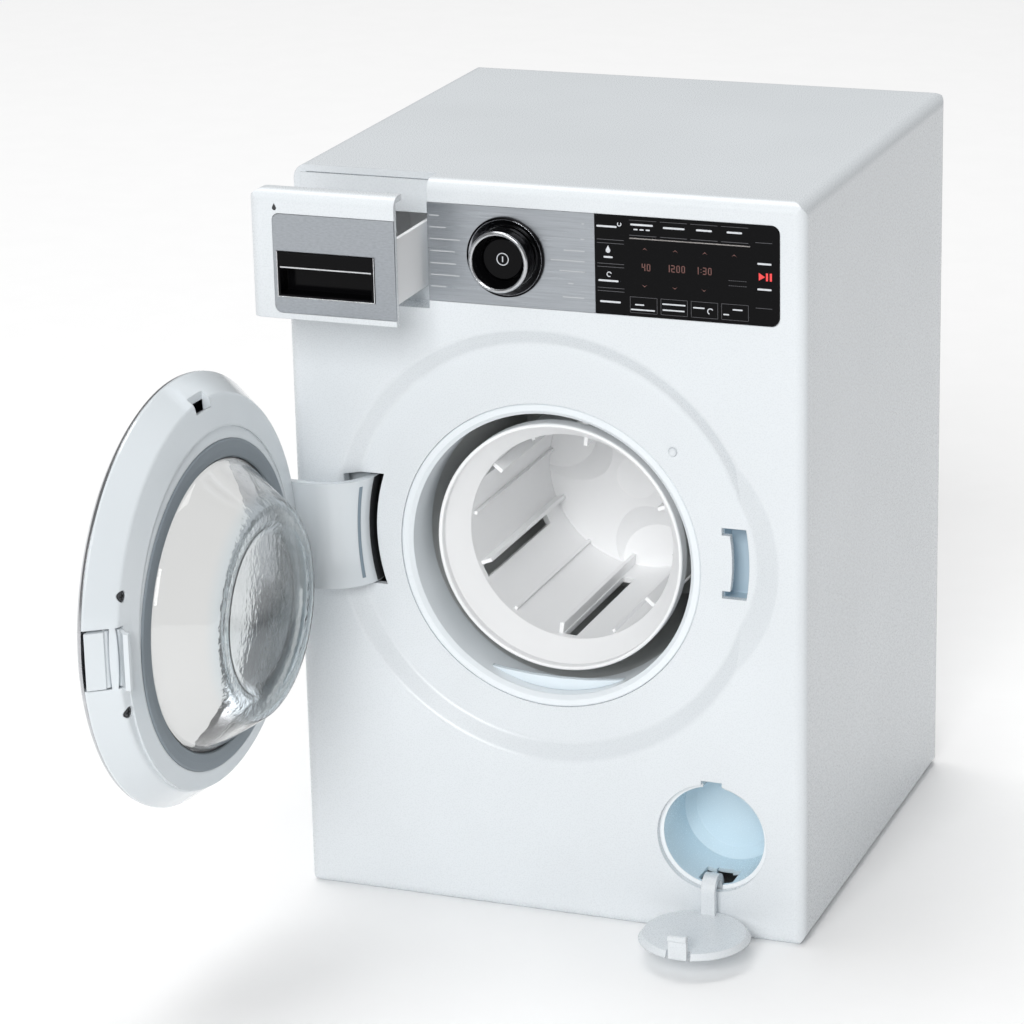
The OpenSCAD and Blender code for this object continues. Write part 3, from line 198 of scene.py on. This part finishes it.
def cup_plastic(name, colour, lip):
    """One white plastic in a lit copy and a shaded copy: a lighter painted-light front edge, and behind it a
    blue-grey painted shade.
    """
    mat, tree, bsdf = new_material(name)
    vector = object_coords(tree)
    # Mask: painted light on the front edge, painted shade behind it.
    painted_shade_mask = ramp(tree, along(tree, vector, "Y"), 0.0, 1.0,
                  (CUP_LIP_Y - CUP_LIP_FADE) * MM, (CUP_LIP_Y + CUP_LIP_FADE) * MM)
    tree.links.new(mix_colour(tree, painted_shade_mask, lip, colour), bsdf.inputs["Base Color"])
    fine = noise(tree, vector, PLASTIC_GRAIN, 2.0, 0.6)
    tree.links.new(ramp(tree, fine, 0.23, 0.28), bsdf.inputs["Roughness"])
    normal = bump(tree, fine, PLASTIC_BUMP, PLASTIC_BUMP_DEPTH, PLASTIC_EDGE)
    tree.links.new(normal, bsdf.inputs["Normal"])
    soften(bsdf, 0.1)
    return mat


def metal(name, colour, rough=0.25, stretch=(1, 1, 1), grain=400.0, streak=0.12):
    """Metal or metal foil, with a grain that stretch draws out into brush lines."""
    mat, tree, bsdf = new_material(name)
    vector = object_coords(tree, stretch)
    lines = noise(tree, vector, grain, 4.0, 0.65)
    dark = tuple(c * (1 - streak) for c in colour)
    tree.links.new(mix_colour(tree, ramp(tree, lines, 0, 1), colour, dark), bsdf.inputs["Base Color"])
    tree.links.new(ramp(tree, lines, rough * 0.8, rough * 1.3), bsdf.inputs["Roughness"])
    tree.links.new(bump(tree, lines, 0.3, 0.00002, 0.0003), bsdf.inputs["Normal"])
    bsdf.inputs["Metallic"].default_value = 1.0
    return mat


def clear_plastic(name, side_tint, end_tint):
    """Clear plastic, evenly tinted, with an orange-peel face on the end of the bowl."""
    mat, tree, bsdf = new_material(name)
    vector = object_coords(tree)
    end = ramp(tree, along(tree, vector, "X"), 0.0, 1.0, END_X0 * MM, END_X1 * MM)
    peel = noise(tree, vector, 420.0, 2.0)
    soft = noise(tree, vector, 60.0, 2.0)
    tree.links.new(mix_colour(tree, end, side_tint, end_tint), bsdf.inputs["Base Color"])
    bsdf.inputs["Transmission Weight"].default_value = 1.0
    bsdf.inputs["IOR"].default_value = 1.45
    tree.links.new(ramp(tree, end, 0.02, 0.10, 0.0, 1.0), bsdf.inputs["Roughness"])
    height = multiply_add(tree, peel)
    tree.links.new(end, height.inputs[1])
    tree.links.new(soft, height.inputs[2])
    tree.links.new(bump(tree, height.outputs[0], 0.35, 0.0003), bsdf.inputs["Normal"])
    return mat


def glow(name, colour, strength):
    """Print or digits with a painted glow of the given strength on top of their colour."""
    mat, tree, bsdf = new_material(name)
    fine = noise(tree, object_coords(tree), 700.0, 2.0)
    dimmer = tuple(c * 0.85 for c in colour)
    tree.links.new(mix_colour(tree, ramp(tree, fine, 0, 1), colour, dimmer), bsdf.inputs["Base Color"])
    bsdf.inputs["Roughness"].default_value = 0.35
    # Painted glow: the print gives off light of its own.
    bsdf.inputs["Emission Color"].default_value = (*colour, 1)
    bsdf.inputs["Emission Strength"].default_value = strength
    return mat


WHITE = (0.70, 0.735, 0.76)
SILVER = (0.41, 0.435, 0.465)

M = {
    "white": plastic("white_gloss", WHITE, 0.28, waves=0.5),
    "gloss": plastic("door_gloss", (0.68, 0.725, 0.755), 0.16, waves=0.5, coat=0.5),
    "inner": plastic("white_satin", WHITE, 0.4),
    "pale": plastic("pale_satin", (0.66, 0.71, 0.74), 0.42),
    "drum": plastic("drum_white", (0.90, 0.905, 0.91), 0.36),
    # The filter cup: its blue-grey is painted shade on white plastic, and its lighter front edge is painted
    # light.
    "blue": cup_plastic("cup_painted_shade", (0.64, 0.765, 0.83), lip=(0.86, 0.89, 0.91)),
    "lip": plastic("lip_blue", (0.76, 0.84, 0.89), 0.25, subsurface=0.1),
    "seal": plastic("seal_grey", (0.225, 0.262, 0.293), 0.45, edge=0.0003),
    "black": plastic("black_gloss", (0.0025, 0.0025, 0.003), 0.14, edge=0.0003, shine=0.09),
    "dark": plastic("dark_matte", (0.03, 0.032, 0.035), 0.5),
    # The tub's grey is painted shade that darkens the unlit depth of the machine behind the drum.
    "tub": plastic("tub_painted_shade", (0.62, 0.635, 0.63), 0.45),
    "catch": plastic("catch_blue", (0.50, 0.62, 0.70), 0.35),
    # The porthole ring is the white plastic made lighter: painted light on the lit wall of the porthole
    # tube.
    "port": plastic("port_white_painted_light", (0.78, 0.825, 0.855), 0.3),
    # Painted shade of the groove on the hinge arm.
    "groove": plastic("groove_painted_shade", (0.22, 0.28, 0.33), 0.5),
    "belt": plastic("belt_rubber", (0.02, 0.02, 0.02), 0.6, grain=1500.0),
    "board": plastic("board_green", (0.02, 0.16, 0.06), 0.35),
    "cell": plastic("cell_wrap", (0.10, 0.16, 0.22), 0.3, coat=0.4),
    "silver": metal("brushed_silver", SILVER, 0.34, stretch=(1, 1, 45), grain=60.0, streak=0.11),
    "sheet": metal("grained_silver", SILVER, 0.36, stretch=(1, 1, 3), grain=700.0),
    "trim": metal("satin_silver", (0.60, 0.61, 0.63), 0.22, grain=200.0),
    # The knob ring's chrome has a darkened colour: painted reflection of dark surroundings.
    "chrome": metal("chrome_painted_dark_reflection", (0.36, 0.37, 0.40), 0.09, grain=90.0, streak=0.04),
    "line": metal("bright_line", (0.78, 0.79, 0.81), 0.2, grain=200.0),
    "steel": metal("bright_steel", (0.60, 0.60, 0.61), 0.24, stretch=(1, 1, 6)),
    "bronze": metal("bush_bronze", (0.55, 0.38, 0.18), 0.3),
    "clear": clear_plastic("clear_plastic", side_tint=(0.70, 0.705, 0.70), end_tint=(0.63, 0.68, 0.70)),
    "print": glow("pale_print", (0.58, 0.60, 0.63), strength=0.15),
    "dim": glow("dim_digits", (0.16, 0.07, 0.06), strength=0.15),
    "red": glow("red_print", (0.75, 0.05, 0.05), strength=0.35),
    "hair": glow("tile_lines", (0.10, 0.10, 0.11), strength=0.0),
    "rule": metal("rule_silver", (0.35, 0.33, 0.32), 0.3),
    "greyprint": plastic("grey_print", (0.50, 0.52, 0.54), 0.5),
}

USE = {
    "white": ["cabinet_shell", "front_panel", "base_plate", "back_cover", "battery_cover",
              "drawer_front", "filter_flap"],
    "gloss": ["door_ring", "hinge_arm", "latch_lever"],
    "inner": ["door_pin"],
    "port": ["porthole_ring"],
    "pale": ["drawer_guide", "hinge_bracket", "knob_shaft"],
    "catch": ["latch_catch"],
    "drum": ["drum_rim", "drum_basket", "drawer_tray"],
    "blue": ["filter_cup"],
    "lip": ["drip_lip"],
    "seal": ["door_seal"],
    "black": ["touch_panel", "knob_bezel", "knob_body", "power_button", "drawer_grip"],
    "dark": ["battery_box", "rotary_switch", "power_switch", "speaker", "door_switch",
             "drum_pulley", "motor_pulley", "door_screws"],
    "tub": ["tub"],
    "belt": ["drive_belt"],
    "board": ["circuit_board"],
    "cell": ["battery_cells"],
    "silver": ["control_fascia"],
    "sheet": ["drawer_fascia"],
    "trim": ["door_trim", "knob_rim"],
    "chrome": ["knob_ring"],
    "steel": ["back_screws", "motor", "motor_bracket", "motor_screws", "battery_springs",
              "battery_screw", "board_screws", "hinge_pin", "pin_spring", "flap_pin",
              "latch_pin", "knob_clip", "drum_shaft", "motor_rotor"],
    "bronze": ["drum_bearing"],
    "clear": ["door_bowl"],
}

for key, names in USE.items():
    for name in names:
        NODES[name].data.materials.clear()
        NODES[name].data.materials.append(M[key])


def new_piece(name, verts, faces, mat):
    """A closed mesh from points in metres, with its faces turned outward."""
    mesh = bpy.data.meshes.new(name)
    mesh.from_pydata(verts, [], faces)
    work = bmesh.new()
    work.from_mesh(mesh)
    bmesh.ops.recalc_face_normals(work, faces=work.faces)
    work.to_mesh(mesh)
    work.free()
    mesh.update()
    mesh.materials.append(mat)
    obj = bpy.data.objects.new(name, mesh)
    bpy.context.collection.objects.link(obj)
    return obj


def circle_points(cx, cy, r, start, end, steps):
    """Points on an arc, between two angles in degrees."""
    angles = [math.radians(start + (end - start) * i / steps) for i in range(steps + 1)]
    return [(cx + r * math.cos(a), cy + r * math.sin(a)) for a in angles]


# The clear bowl, turned smoothly on the same outline as its CAD solid

def at_door(x, depth, z):
    """A point of the shut door, by its depth behind the seal plane, where the open door holds it."""
    turn = math.radians(DOOR_TURN)
    dx, dy = x - HINGE_X, depth + SEAL_DEPTH - HINGE_DEPTH
    return Vector((HINGE_X + math.cos(turn) * dx - math.sin(turn) * dy,
                   FRONT + HINGE_DEPTH + math.sin(turn) * dx + math.cos(turn) * dy, z)) * MM


def bowl_face(t):
    """The bowl's face from its rim to its middle, moved in by t, as radius and depth."""
    wall_steps, corner_steps, crest_steps, dip_steps = 6, 14, 10, 10
    reach = (CREST_R + DIP_R) * math.sin(math.radians(45))
    corner = circle_points(CORNER_AT_R, BOWL_DEPTH - CORNER_R, CORNER_R - t, BOWL_LEAN, 90, corner_steps)
    crest = circle_points(DIMPLE_R + reach, BOWL_DEPTH - CREST_R, CREST_R - t, 90, 135, crest_steps)
    dip = circle_points(DIMPLE_R, BOWL_DEPTH - CREST_R + reach, DIP_R + t, -45, -90, dip_steps)
    flat = [(r, dip[-1][1]) for r in (18.0, 12.0, 6.0, 2.0)]
    rim = BOWL_RIM_R - t / math.cos(math.radians(BOWL_LEAN))
    wall = [(rim + (corner[0][0] - rim) * k / wall_steps, corner[0][1] * k / wall_steps)
            for k in range(wall_steps)]
    return wall + corner + crest + dip + flat


def lathe(name, outline, mat, discs=()):
    """A closed turned piece of the door; discs are the two rows that end in a flat disc."""
    turns = 192
    sharp = math.radians(40)
    rows = len(outline)
    verts, faces = [], []
    for r, depth in outline:
        for k in range(turns):
            a = 2 * math.pi * k / turns
            verts.append(at_door(r * math.cos(a), depth, PORT_Z + r * math.sin(a)))
    for i in range(rows):
        j = (i + 1) % rows
        if i in discs and j in discs:
            continue
        for k in range(turns):
            m = (k + 1) % turns
            faces.append([i * turns + k, i * turns + m, j * turns + m, j * turns + k])
    for i in discs:
        faces.append([i * turns + k for k in range(turns)])
    obj = new_piece(name, verts, faces, mat)
    obj.data.polygons.foreach_set("use_smooth", [True] * len(faces))
    obj.data.set_sharp_from_angle(angle=sharp)
    obj.data.update()
    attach(obj, "door")
    return obj


def bowl():
    outer, inner = bowl_face(0.0), bowl_face(BOWL_WALL)
    flange_r = SEAL_R - SEAL_GAP
    front = [(flange_r, FLANGE_BACK), (flange_r, FLANGE_FRONT), (BOWL_RIM_R, FLANGE_FRONT)] + outer
    mouth_r = inner[0][0] - FLANGE_BACK * math.tan(math.radians(BOWL_LEAN))
    outline = front + list(reversed(inner)) + [(mouth_r, FLANGE_BACK)]
    glass = lathe("bowl_glass", outline, M["clear"], (len(front) - 1, len(front)))
    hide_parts("door_bowl")
    # A thin dark ring in the gap between the bowl's rim and the seal: painted shade of the gap.
    gap_shade_in, gap_shade_out = BOWL_RIM_R + 0.1, SEAL_IN_R - 0.05
    gap_shade_back, gap_shade_front = FLANGE_FRONT + 0.02, -0.25
    lip = [(gap_shade_in, gap_shade_back), (gap_shade_out, gap_shade_back), (gap_shade_out, gap_shade_front), (gap_shade_in, gap_shade_front)]
    lathe("seal_gap_shade", lip, M["dark"])


# Painted shade on the hinge arm: a dark strip for the shaded gap in its slot and a grey strip for the shaded
# groove

def arm_strip(name, start, end, half, mat):
    """A thin strip of painted shade on the hollowed face of the hinge arm, between two angles in degrees."""
    rows, columns = 16, 12
    verts, faces = [], []
    for lift in (STRIP_LIFT, STRIP_LIFT + STRIP_THICK):
        for i in range(rows + 1):
            a = math.radians(start + (end - start) * i / rows)
            for k in range(columns + 1):
                dz = half * (2 * k / columns - 1)
                r = ARM_R + ARM_HOLLOW_R - math.sqrt(ARM_HOLLOW_R ** 2 - dz ** 2) + lift
                x = HINGE_X + r * math.cos(a)
                y = FRONT + HINGE_DEPTH + r * math.sin(a)
                verts.append(Vector((x, y, ARM_Z + dz)) * MM)
    step = columns + 1
    top = (rows + 1) * step
    for i in range(rows):
        for k in range(columns):
            b = i * step + k
            faces.append([b, b + 1, b + step + 1, b + step])
            faces.append([top + b, top + b + step, top + b + step + 1, top + b + 1])
    edge = [i * step for i in range(rows)] + [rows * step + k for k in range(columns)]
    edge += [i * step + columns for i in range(rows, 0, -1)] + list(range(columns, 0, -1))
    for i, b in enumerate(edge):
        c = edge[(i + 1) % len(edge)]
        faces.append([b, c, top + c, top + b])
    obj = new_piece(name, verts, faces, mat)
    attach(obj, "door")


# Flat marks: closed prisms a little proud of the surface they sit on

def prisms(name, outlines, y0, y1, mat, body):
    verts, faces = [], []
    for outline in outlines:
        n, base = len(outline), len(verts)
        verts += [(x, y0, z) for x, z in outline] + [(x, y1, z) for x, z in outline]
        faces.append([base + i for i in range(n)])
        faces.append([base + n + i for i in reversed(range(n))])
        for i in range(n):
            j = (i + 1) % n
            faces.append([base + j, base + i, base + n + i, base + n + j])
    obj = new_piece(name, [Vector(v) * MM for v in verts], faces, mat)
    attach(obj, body)
    return obj


def rect(x0, x1, z0, z1):
    return [(x0, z0), (x1, z0), (x1, z1), (x0, z1)]


def bar(x, z, w, h):
    """A bar with round ends, about its middle."""
    r = h / 2
    left = circle_points(x - w / 2 + r, z, r, 90, 270, 6)
    right = circle_points(x + w / 2 - r, z, r, -90, 90, 6)
    return left + right


def ring_arc(x, z, r, t, start, end, steps=24):
    outer = circle_points(x, z, r + t / 2, start, end, steps)
    inner = circle_points(x, z, r - t / 2, start, end, steps)
    return outer + list(reversed(inner))


def drop(x, z, r):
    return circle_points(x, z, r, 150, 390, 12) + [(x, z + 2.2 * r)]


SEGMENTS = {
    "0": "abcdef", "1": "bc", "2": "abged", "3": "abgcd", "4": "fgbc",
    "5": "afgcd", "6": "afgedc", "7": "abc", "8": "abcdefg", "9": "abcdfg",
}


def digits(text, x, z, h):
    """Digits of seven segments, their lower left corner at x and z."""
    w, t = h * 0.5, h * 0.12
    pitch, colon_pitch = w * 1.45, t * 3.2
    middle = z + h / 2
    out = []
    for ch in text:
        if ch == ":":
            out += [bar(x + t, z + h * share, t, t) for share in (0.3, 0.7)]
            x += colon_pitch
            continue
        parts = {
            "a": rect(x, x + w, z + h - t, z + h),
            "b": rect(x + w - t, x + w, middle, z + h),
            "c": rect(x + w - t, x + w, z, middle),
            "d": rect(x, x + w, z, z + t),
            "e": rect(x, x + t, z, middle),
            "f": rect(x, x + t, middle, z + h),
            "g": rect(x, x + w, middle - t / 2, middle + t / 2),
        }
        out += [parts[s] for s in SEGMENTS[ch]]
        x += pitch
    return out


# Marks on the black panel, placed in millimetres of X and Z

BAR_H, FINE_BAR_H = 0.62, 0.45
LINE_H, HAIR_W = 0.16, 0.12
ARC_W = 0.3
TILE_X = ((32.0, 41.4), (42.6, 51.8), (53.0, 62.2), (63.4, 72.6))
TILE_FOOT, TILE_HEAD = 219.9, 225.2
ICON_X = 24.6
SIDE_X0, SIDE_X1 = 20.8, 30.1


def panel_print():
    bars = [(24.2, 248.4, 7.0), (36.3, 249.6, 7.8), (47.3, 249.2, 7.4), (57.6, 249.2, 5.4),
            (67.9, 249.2, 5.2), (ICON_X, 238.1, 3.2), (ICON_X, 230.1, 7.0), (25.2, 223.0, 7.2),
            (78.0, 239.5, 4.8), (78.0, 231.0, 4.8)]
    fine_bars = [(35.3, 222.7, 3.2), (36.4, 221.0, 8.4), (47.1, 223.6, 8.0), (47.0, 221.6, 7.6),
                 (55.7, 223.2, 4.0), (68.9, 223.5, 3.4), (65.0, 221.7, 2.0), (34.2, 248.0, 1.5),
                 (36.3, 248.0, 1.5), (38.4, 248.0, 1.5)]
    marks = [bar(x, z, w, BAR_H) for x, z, w in bars]
    marks += [bar(x, z, w, FINE_BAR_H) for x, z, w in fine_bars]
    marks += [ring_arc(28.6, 249.4, 0.6, ARC_W, 130, 410), ring_arc(24.9, 232.3, 0.75, ARC_W, 20, 300)]
    marks += [drop(ICON_X, 240.3, 0.8), ring_arc(59.6, 222.3, 0.9, ARC_W, 30, 250)]
    prisms("panel_print", marks, PANEL_Y - 0.06, PANEL_Y, M["print"], "cabinet")


def panel_lines():
    lines = [rect(SIDE_X0, SIDE_X1, z, z + LINE_H) for z in (243.9, 242.7, 235.8, 234.7, 227.6, 226.5)]
    for x0, x1 in TILE_X:
        lines.append(rect(x0, x1, 245.9, 245.9 + LINE_H))
        lines += [rect(x0, x1, z, z + HAIR_W) for z in (251.0, TILE_HEAD, TILE_FOOT)]
        lines += [rect(x, x + HAIR_W, TILE_FOOT, TILE_HEAD) for x in (x0, x1 - HAIR_W)]
    lines += [rect(75.0, 80.6, z, z + 0.15) for z in (246.4, 224.6)]
    dot_x, dot_w, dot_h, dot_pitch = 65.9, 0.4, 0.2, 0.7
    for i in range(9):
        x = dot_x + dot_pitch * i
        lines += [rect(x, x + dot_w, z, z + dot_h) for z in (233.1, 231.4)]
    prisms("panel_lines", lines, PANEL_Y - 0.04, PANEL_Y, M["hair"], "cabinet")
    prisms("panel_rule", [rect(32.0, 73.2, 244.8, 245.15)], PANEL_Y - 0.08, PANEL_Y, M["rule"], "cabinet")


def panel_digits():
    size, arrow = 2.4, 0.9
    shown = digits("40", 36.2, 234.3, size) + digits("1200", 44.6, 234.5, size)
    shown += digits("1:30", 54.5, 234.5, size)
    for x in (37.3, 47.7, 57.8, 67.8):
        shown.append([(x - arrow, 241.2), (x, 242.0), (x + arrow, 241.2), (x, 241.7)])
    for x in (37.1, 47.5, 57.5):
        shown.append([(x - arrow, 229.6), (x, 229.1), (x + arrow, 229.6), (x, 228.8)])
    prisms("panel_digits", shown, PANEL_Y - 0.05, PANEL_Y, M["dim"], "cabinet")


def panel_play():
    foot, head = 233.9, 236.5
    marks = [[(76.1, foot), (76.1, head), (78.2, (foot + head) / 2)]]
    marks += [rect(x, x + 0.7, foot, head) for x in (78.5, 79.8)]
    prisms("panel_play", marks, PANEL_Y - 0.06, PANEL_Y, M["red"], "cabinet")


# Marks on the power button, beside the knob and on the drawer

def power_symbol():
    circle_r, stroke_w, stroke_h = 2.0, 0.4, 1.9
    stroke = rect(KNOB_X - stroke_w / 2, KNOB_X + stroke_w / 2, KNOB_Z - stroke_h / 2, KNOB_Z + stroke_h / 2)
    circle = ring_arc(KNOB_X, KNOB_Z, circle_r, ARC_W, 90, 449, 36)
    prisms("power_symbol", [circle, stroke], BUTTON_Y - 0.05, BUTTON_Y, M["print"], "button")


def programme_print():
    left_x, right_x = -38.4, 16.4
    left = [(248.0, 3.6), (244.0, 6.0), (240.0, 11.0), (235.9, 9.0), (231.7, 9.2), (227.7, 10.4),
            (223.7, 5.6)]
    right = [(right_x, 248.6, 1.0), (right_x, 243.4, 1.4), (right_x, 239.3, 7.4), (right_x, 235.8, 12.0),
             (right_x, 232.3, 9.0), (12.4, 228.1, 2.0), (16.0, 223.4, 7.6)]
    rows = [bar(left_x + w / 2, z, w, FINE_BAR_H) for z, w in left]
    rows += [bar(x - w / 2, z, w, FINE_BAR_H) for x, z, w in right]
    prisms("programme_print", rows, FRONT - 0.04, FRONT, M["greyprint"], "cabinet")


def drawer_marks():
    y = DRAWER_Y
    prisms("drawer_drop", [drop(-81.8, 254.1, 0.75)], y - 0.04, y, M["dark"], "drawer")
    grip = [rect(-80.4, -47.8, 234.1, 234.6)]
    prisms("grip_line", grip, y - 0.38, y + 0.9, M["line"], "drawer")
    x0, x1, foot, head = -81.5, -46.7, 224.1, 239.6
    edge, low_edge = 0.25, 0.3
    frame_lines = [rect(x0, x1, foot, foot + low_edge), rect(x0, x0 + edge, foot + low_edge, head),
                   rect(x1 - edge, x1, foot + low_edge, head)]
    prisms("grip_frame", frame_lines, y - 0.46, y - 0.4, M["line"], "drawer")


# The parts on the back of the circuit board

def board_parts():
    y = BOARD_Y
    chips = [rect(36, 48, 229, 241), rect(4, 10, 230, 240)]
    prisms("board_chips", chips, y, y + 1.4, M["dark"], "cabinet")
    can_r, can_sides = 2.6, 24
    cans = [circle_points(22, z, can_r, 0, 360, can_sides)[:-1] for z in (226, 244)]
    prisms("board_cans", cans, y, y + 7.0, M["cell"], "cabinet")
    prisms("board_plugs", [rect(58, 70, 222, 226), rect(58, 66, 245, 249)], y, y + 5.0, M["pale"], "cabinet")
    small = [rect(x, x + 2.2, z, z + 1.2) for x in (28, 31.5, 52, 55.5) for z in (224, 228, 242, 246)]
    prisms("board_chips_small", small, y, y + 0.6, M["steel"], "cabinet")


bowl()
# Dark sheet for the shaded gap in the hinge slot: painted shade.
arm_strip("arm_shade", -12.8, 12.0, 18.7, M["dark"])
# Grey strip for the shaded groove on the arm: painted shade.
arm_strip("arm_groove_shade", -34.0, -29.5, 16.4, M["groove"])
panel_print()
panel_lines()
panel_digits()
panel_play()
power_symbol()
programme_print()
drawer_marks()
board_parts()


# Floor, light and camera, in metres and radians

FLOOR_SIZE = 12
LIT_POINT = (0, 0, 0.1)
CAMERA_AT = (0.43564, -1.23794, 0.55618)
CAMERA_AZIMUTH, CAMERA_ELEVATION, CAMERA_ROLL = 0.371, 0.3207, -0.0238
PICTURE_PIXELS = 1024
FOCAL_PIXELS = 3847.40
SENSOR_WIDTH = 36.0


def floor():
    bpy.ops.mesh.primitive_plane_add(size=FLOOR_SIZE, location=(0, 0, 0))
    obj = bpy.context.object
    obj.name = "floor"
    mat, tree, bsdf = new_material("floor_pale")
    bsdf.inputs["Specular IOR Level"].default_value = 0.2
    fine = ramp(tree, noise(tree, object_coords(tree), 40.0), 0, 1)
    tree.links.new(mix_colour(tree, fine, (0.975, 0.975, 0.975), (0.965, 0.965, 0.965)),
                   bsdf.inputs["Base Color"])
    bsdf.inputs["Roughness"].default_value = 0.75
    obj.data.materials.append(mat)


def square_light(name, size, power, location):
    data = bpy.data.lights.new(name, "AREA")
    data.shape = "SQUARE"
    data.size = size
    data.energy = power
    obj = bpy.data.objects.new(name, data)
    bpy.context.collection.objects.link(obj)
    obj.location = location
    way = Vector(LIT_POINT) - Vector(location)
    obj.rotation_euler = way.to_track_quat("-Z", "Y").to_euler()


def lights():
    world = bpy.data.worlds.new("studio")
    bpy.context.scene.world = world
    world.use_nodes = True
    shade = world.node_tree.nodes["Background"]
    shade.inputs["Color"].default_value = (1.0, 1.0, 1.0, 1)
    shade.inputs["Strength"].default_value = 0.25
    square_light("key", size=2.6, power=196.0, location=(0.5, -4.8, 2.7))
    square_light("top", size=3.4, power=145.0, location=(-0.8, 0.8, 4.6))


def camera():
    az, el, roll = CAMERA_AZIMUTH, CAMERA_ELEVATION, CAMERA_ROLL
    fwd = Vector((-math.sin(az) * math.cos(el), math.cos(az) * math.cos(el), -math.sin(el)))
    right = Vector((math.cos(az), math.sin(az), 0))
    up = right.cross(fwd)
    side = math.cos(roll) * right + math.sin(roll) * up
    top = -math.sin(roll) * right + math.cos(roll) * up
    data = bpy.data.cameras.new("photo_camera")
    data.sensor_width = SENSOR_WIDTH
    data.lens = FOCAL_PIXELS / PICTURE_PIXELS * SENSOR_WIDTH
    data.clip_end = 20
    obj = bpy.data.objects.new("photo_camera", data)
    bpy.context.collection.objects.link(obj)
    turn = Matrix((side, top, -fwd)).transposed().to_4x4()
    obj.matrix_world = Matrix.Translation(CAMERA_AT) @ turn
    bpy.context.scene.camera = obj


floor()
lights()
camera()

scene = bpy.context.scene
scene.render.engine = "CYCLES"
scene.render.resolution_x = PICTURE_PIXELS
scene.render.resolution_y = PICTURE_PIXELS
scene.cycles.samples = 128
scene.cycles.max_bounces = 12
scene.cycles.diffuse_bounces = 8
scene.cycles.transparent_max_bounces = 12
scene.view_settings.view_transform = "Standard"
scene.view_settings.look = "None"
scene.view_settings.exposure = 0.0
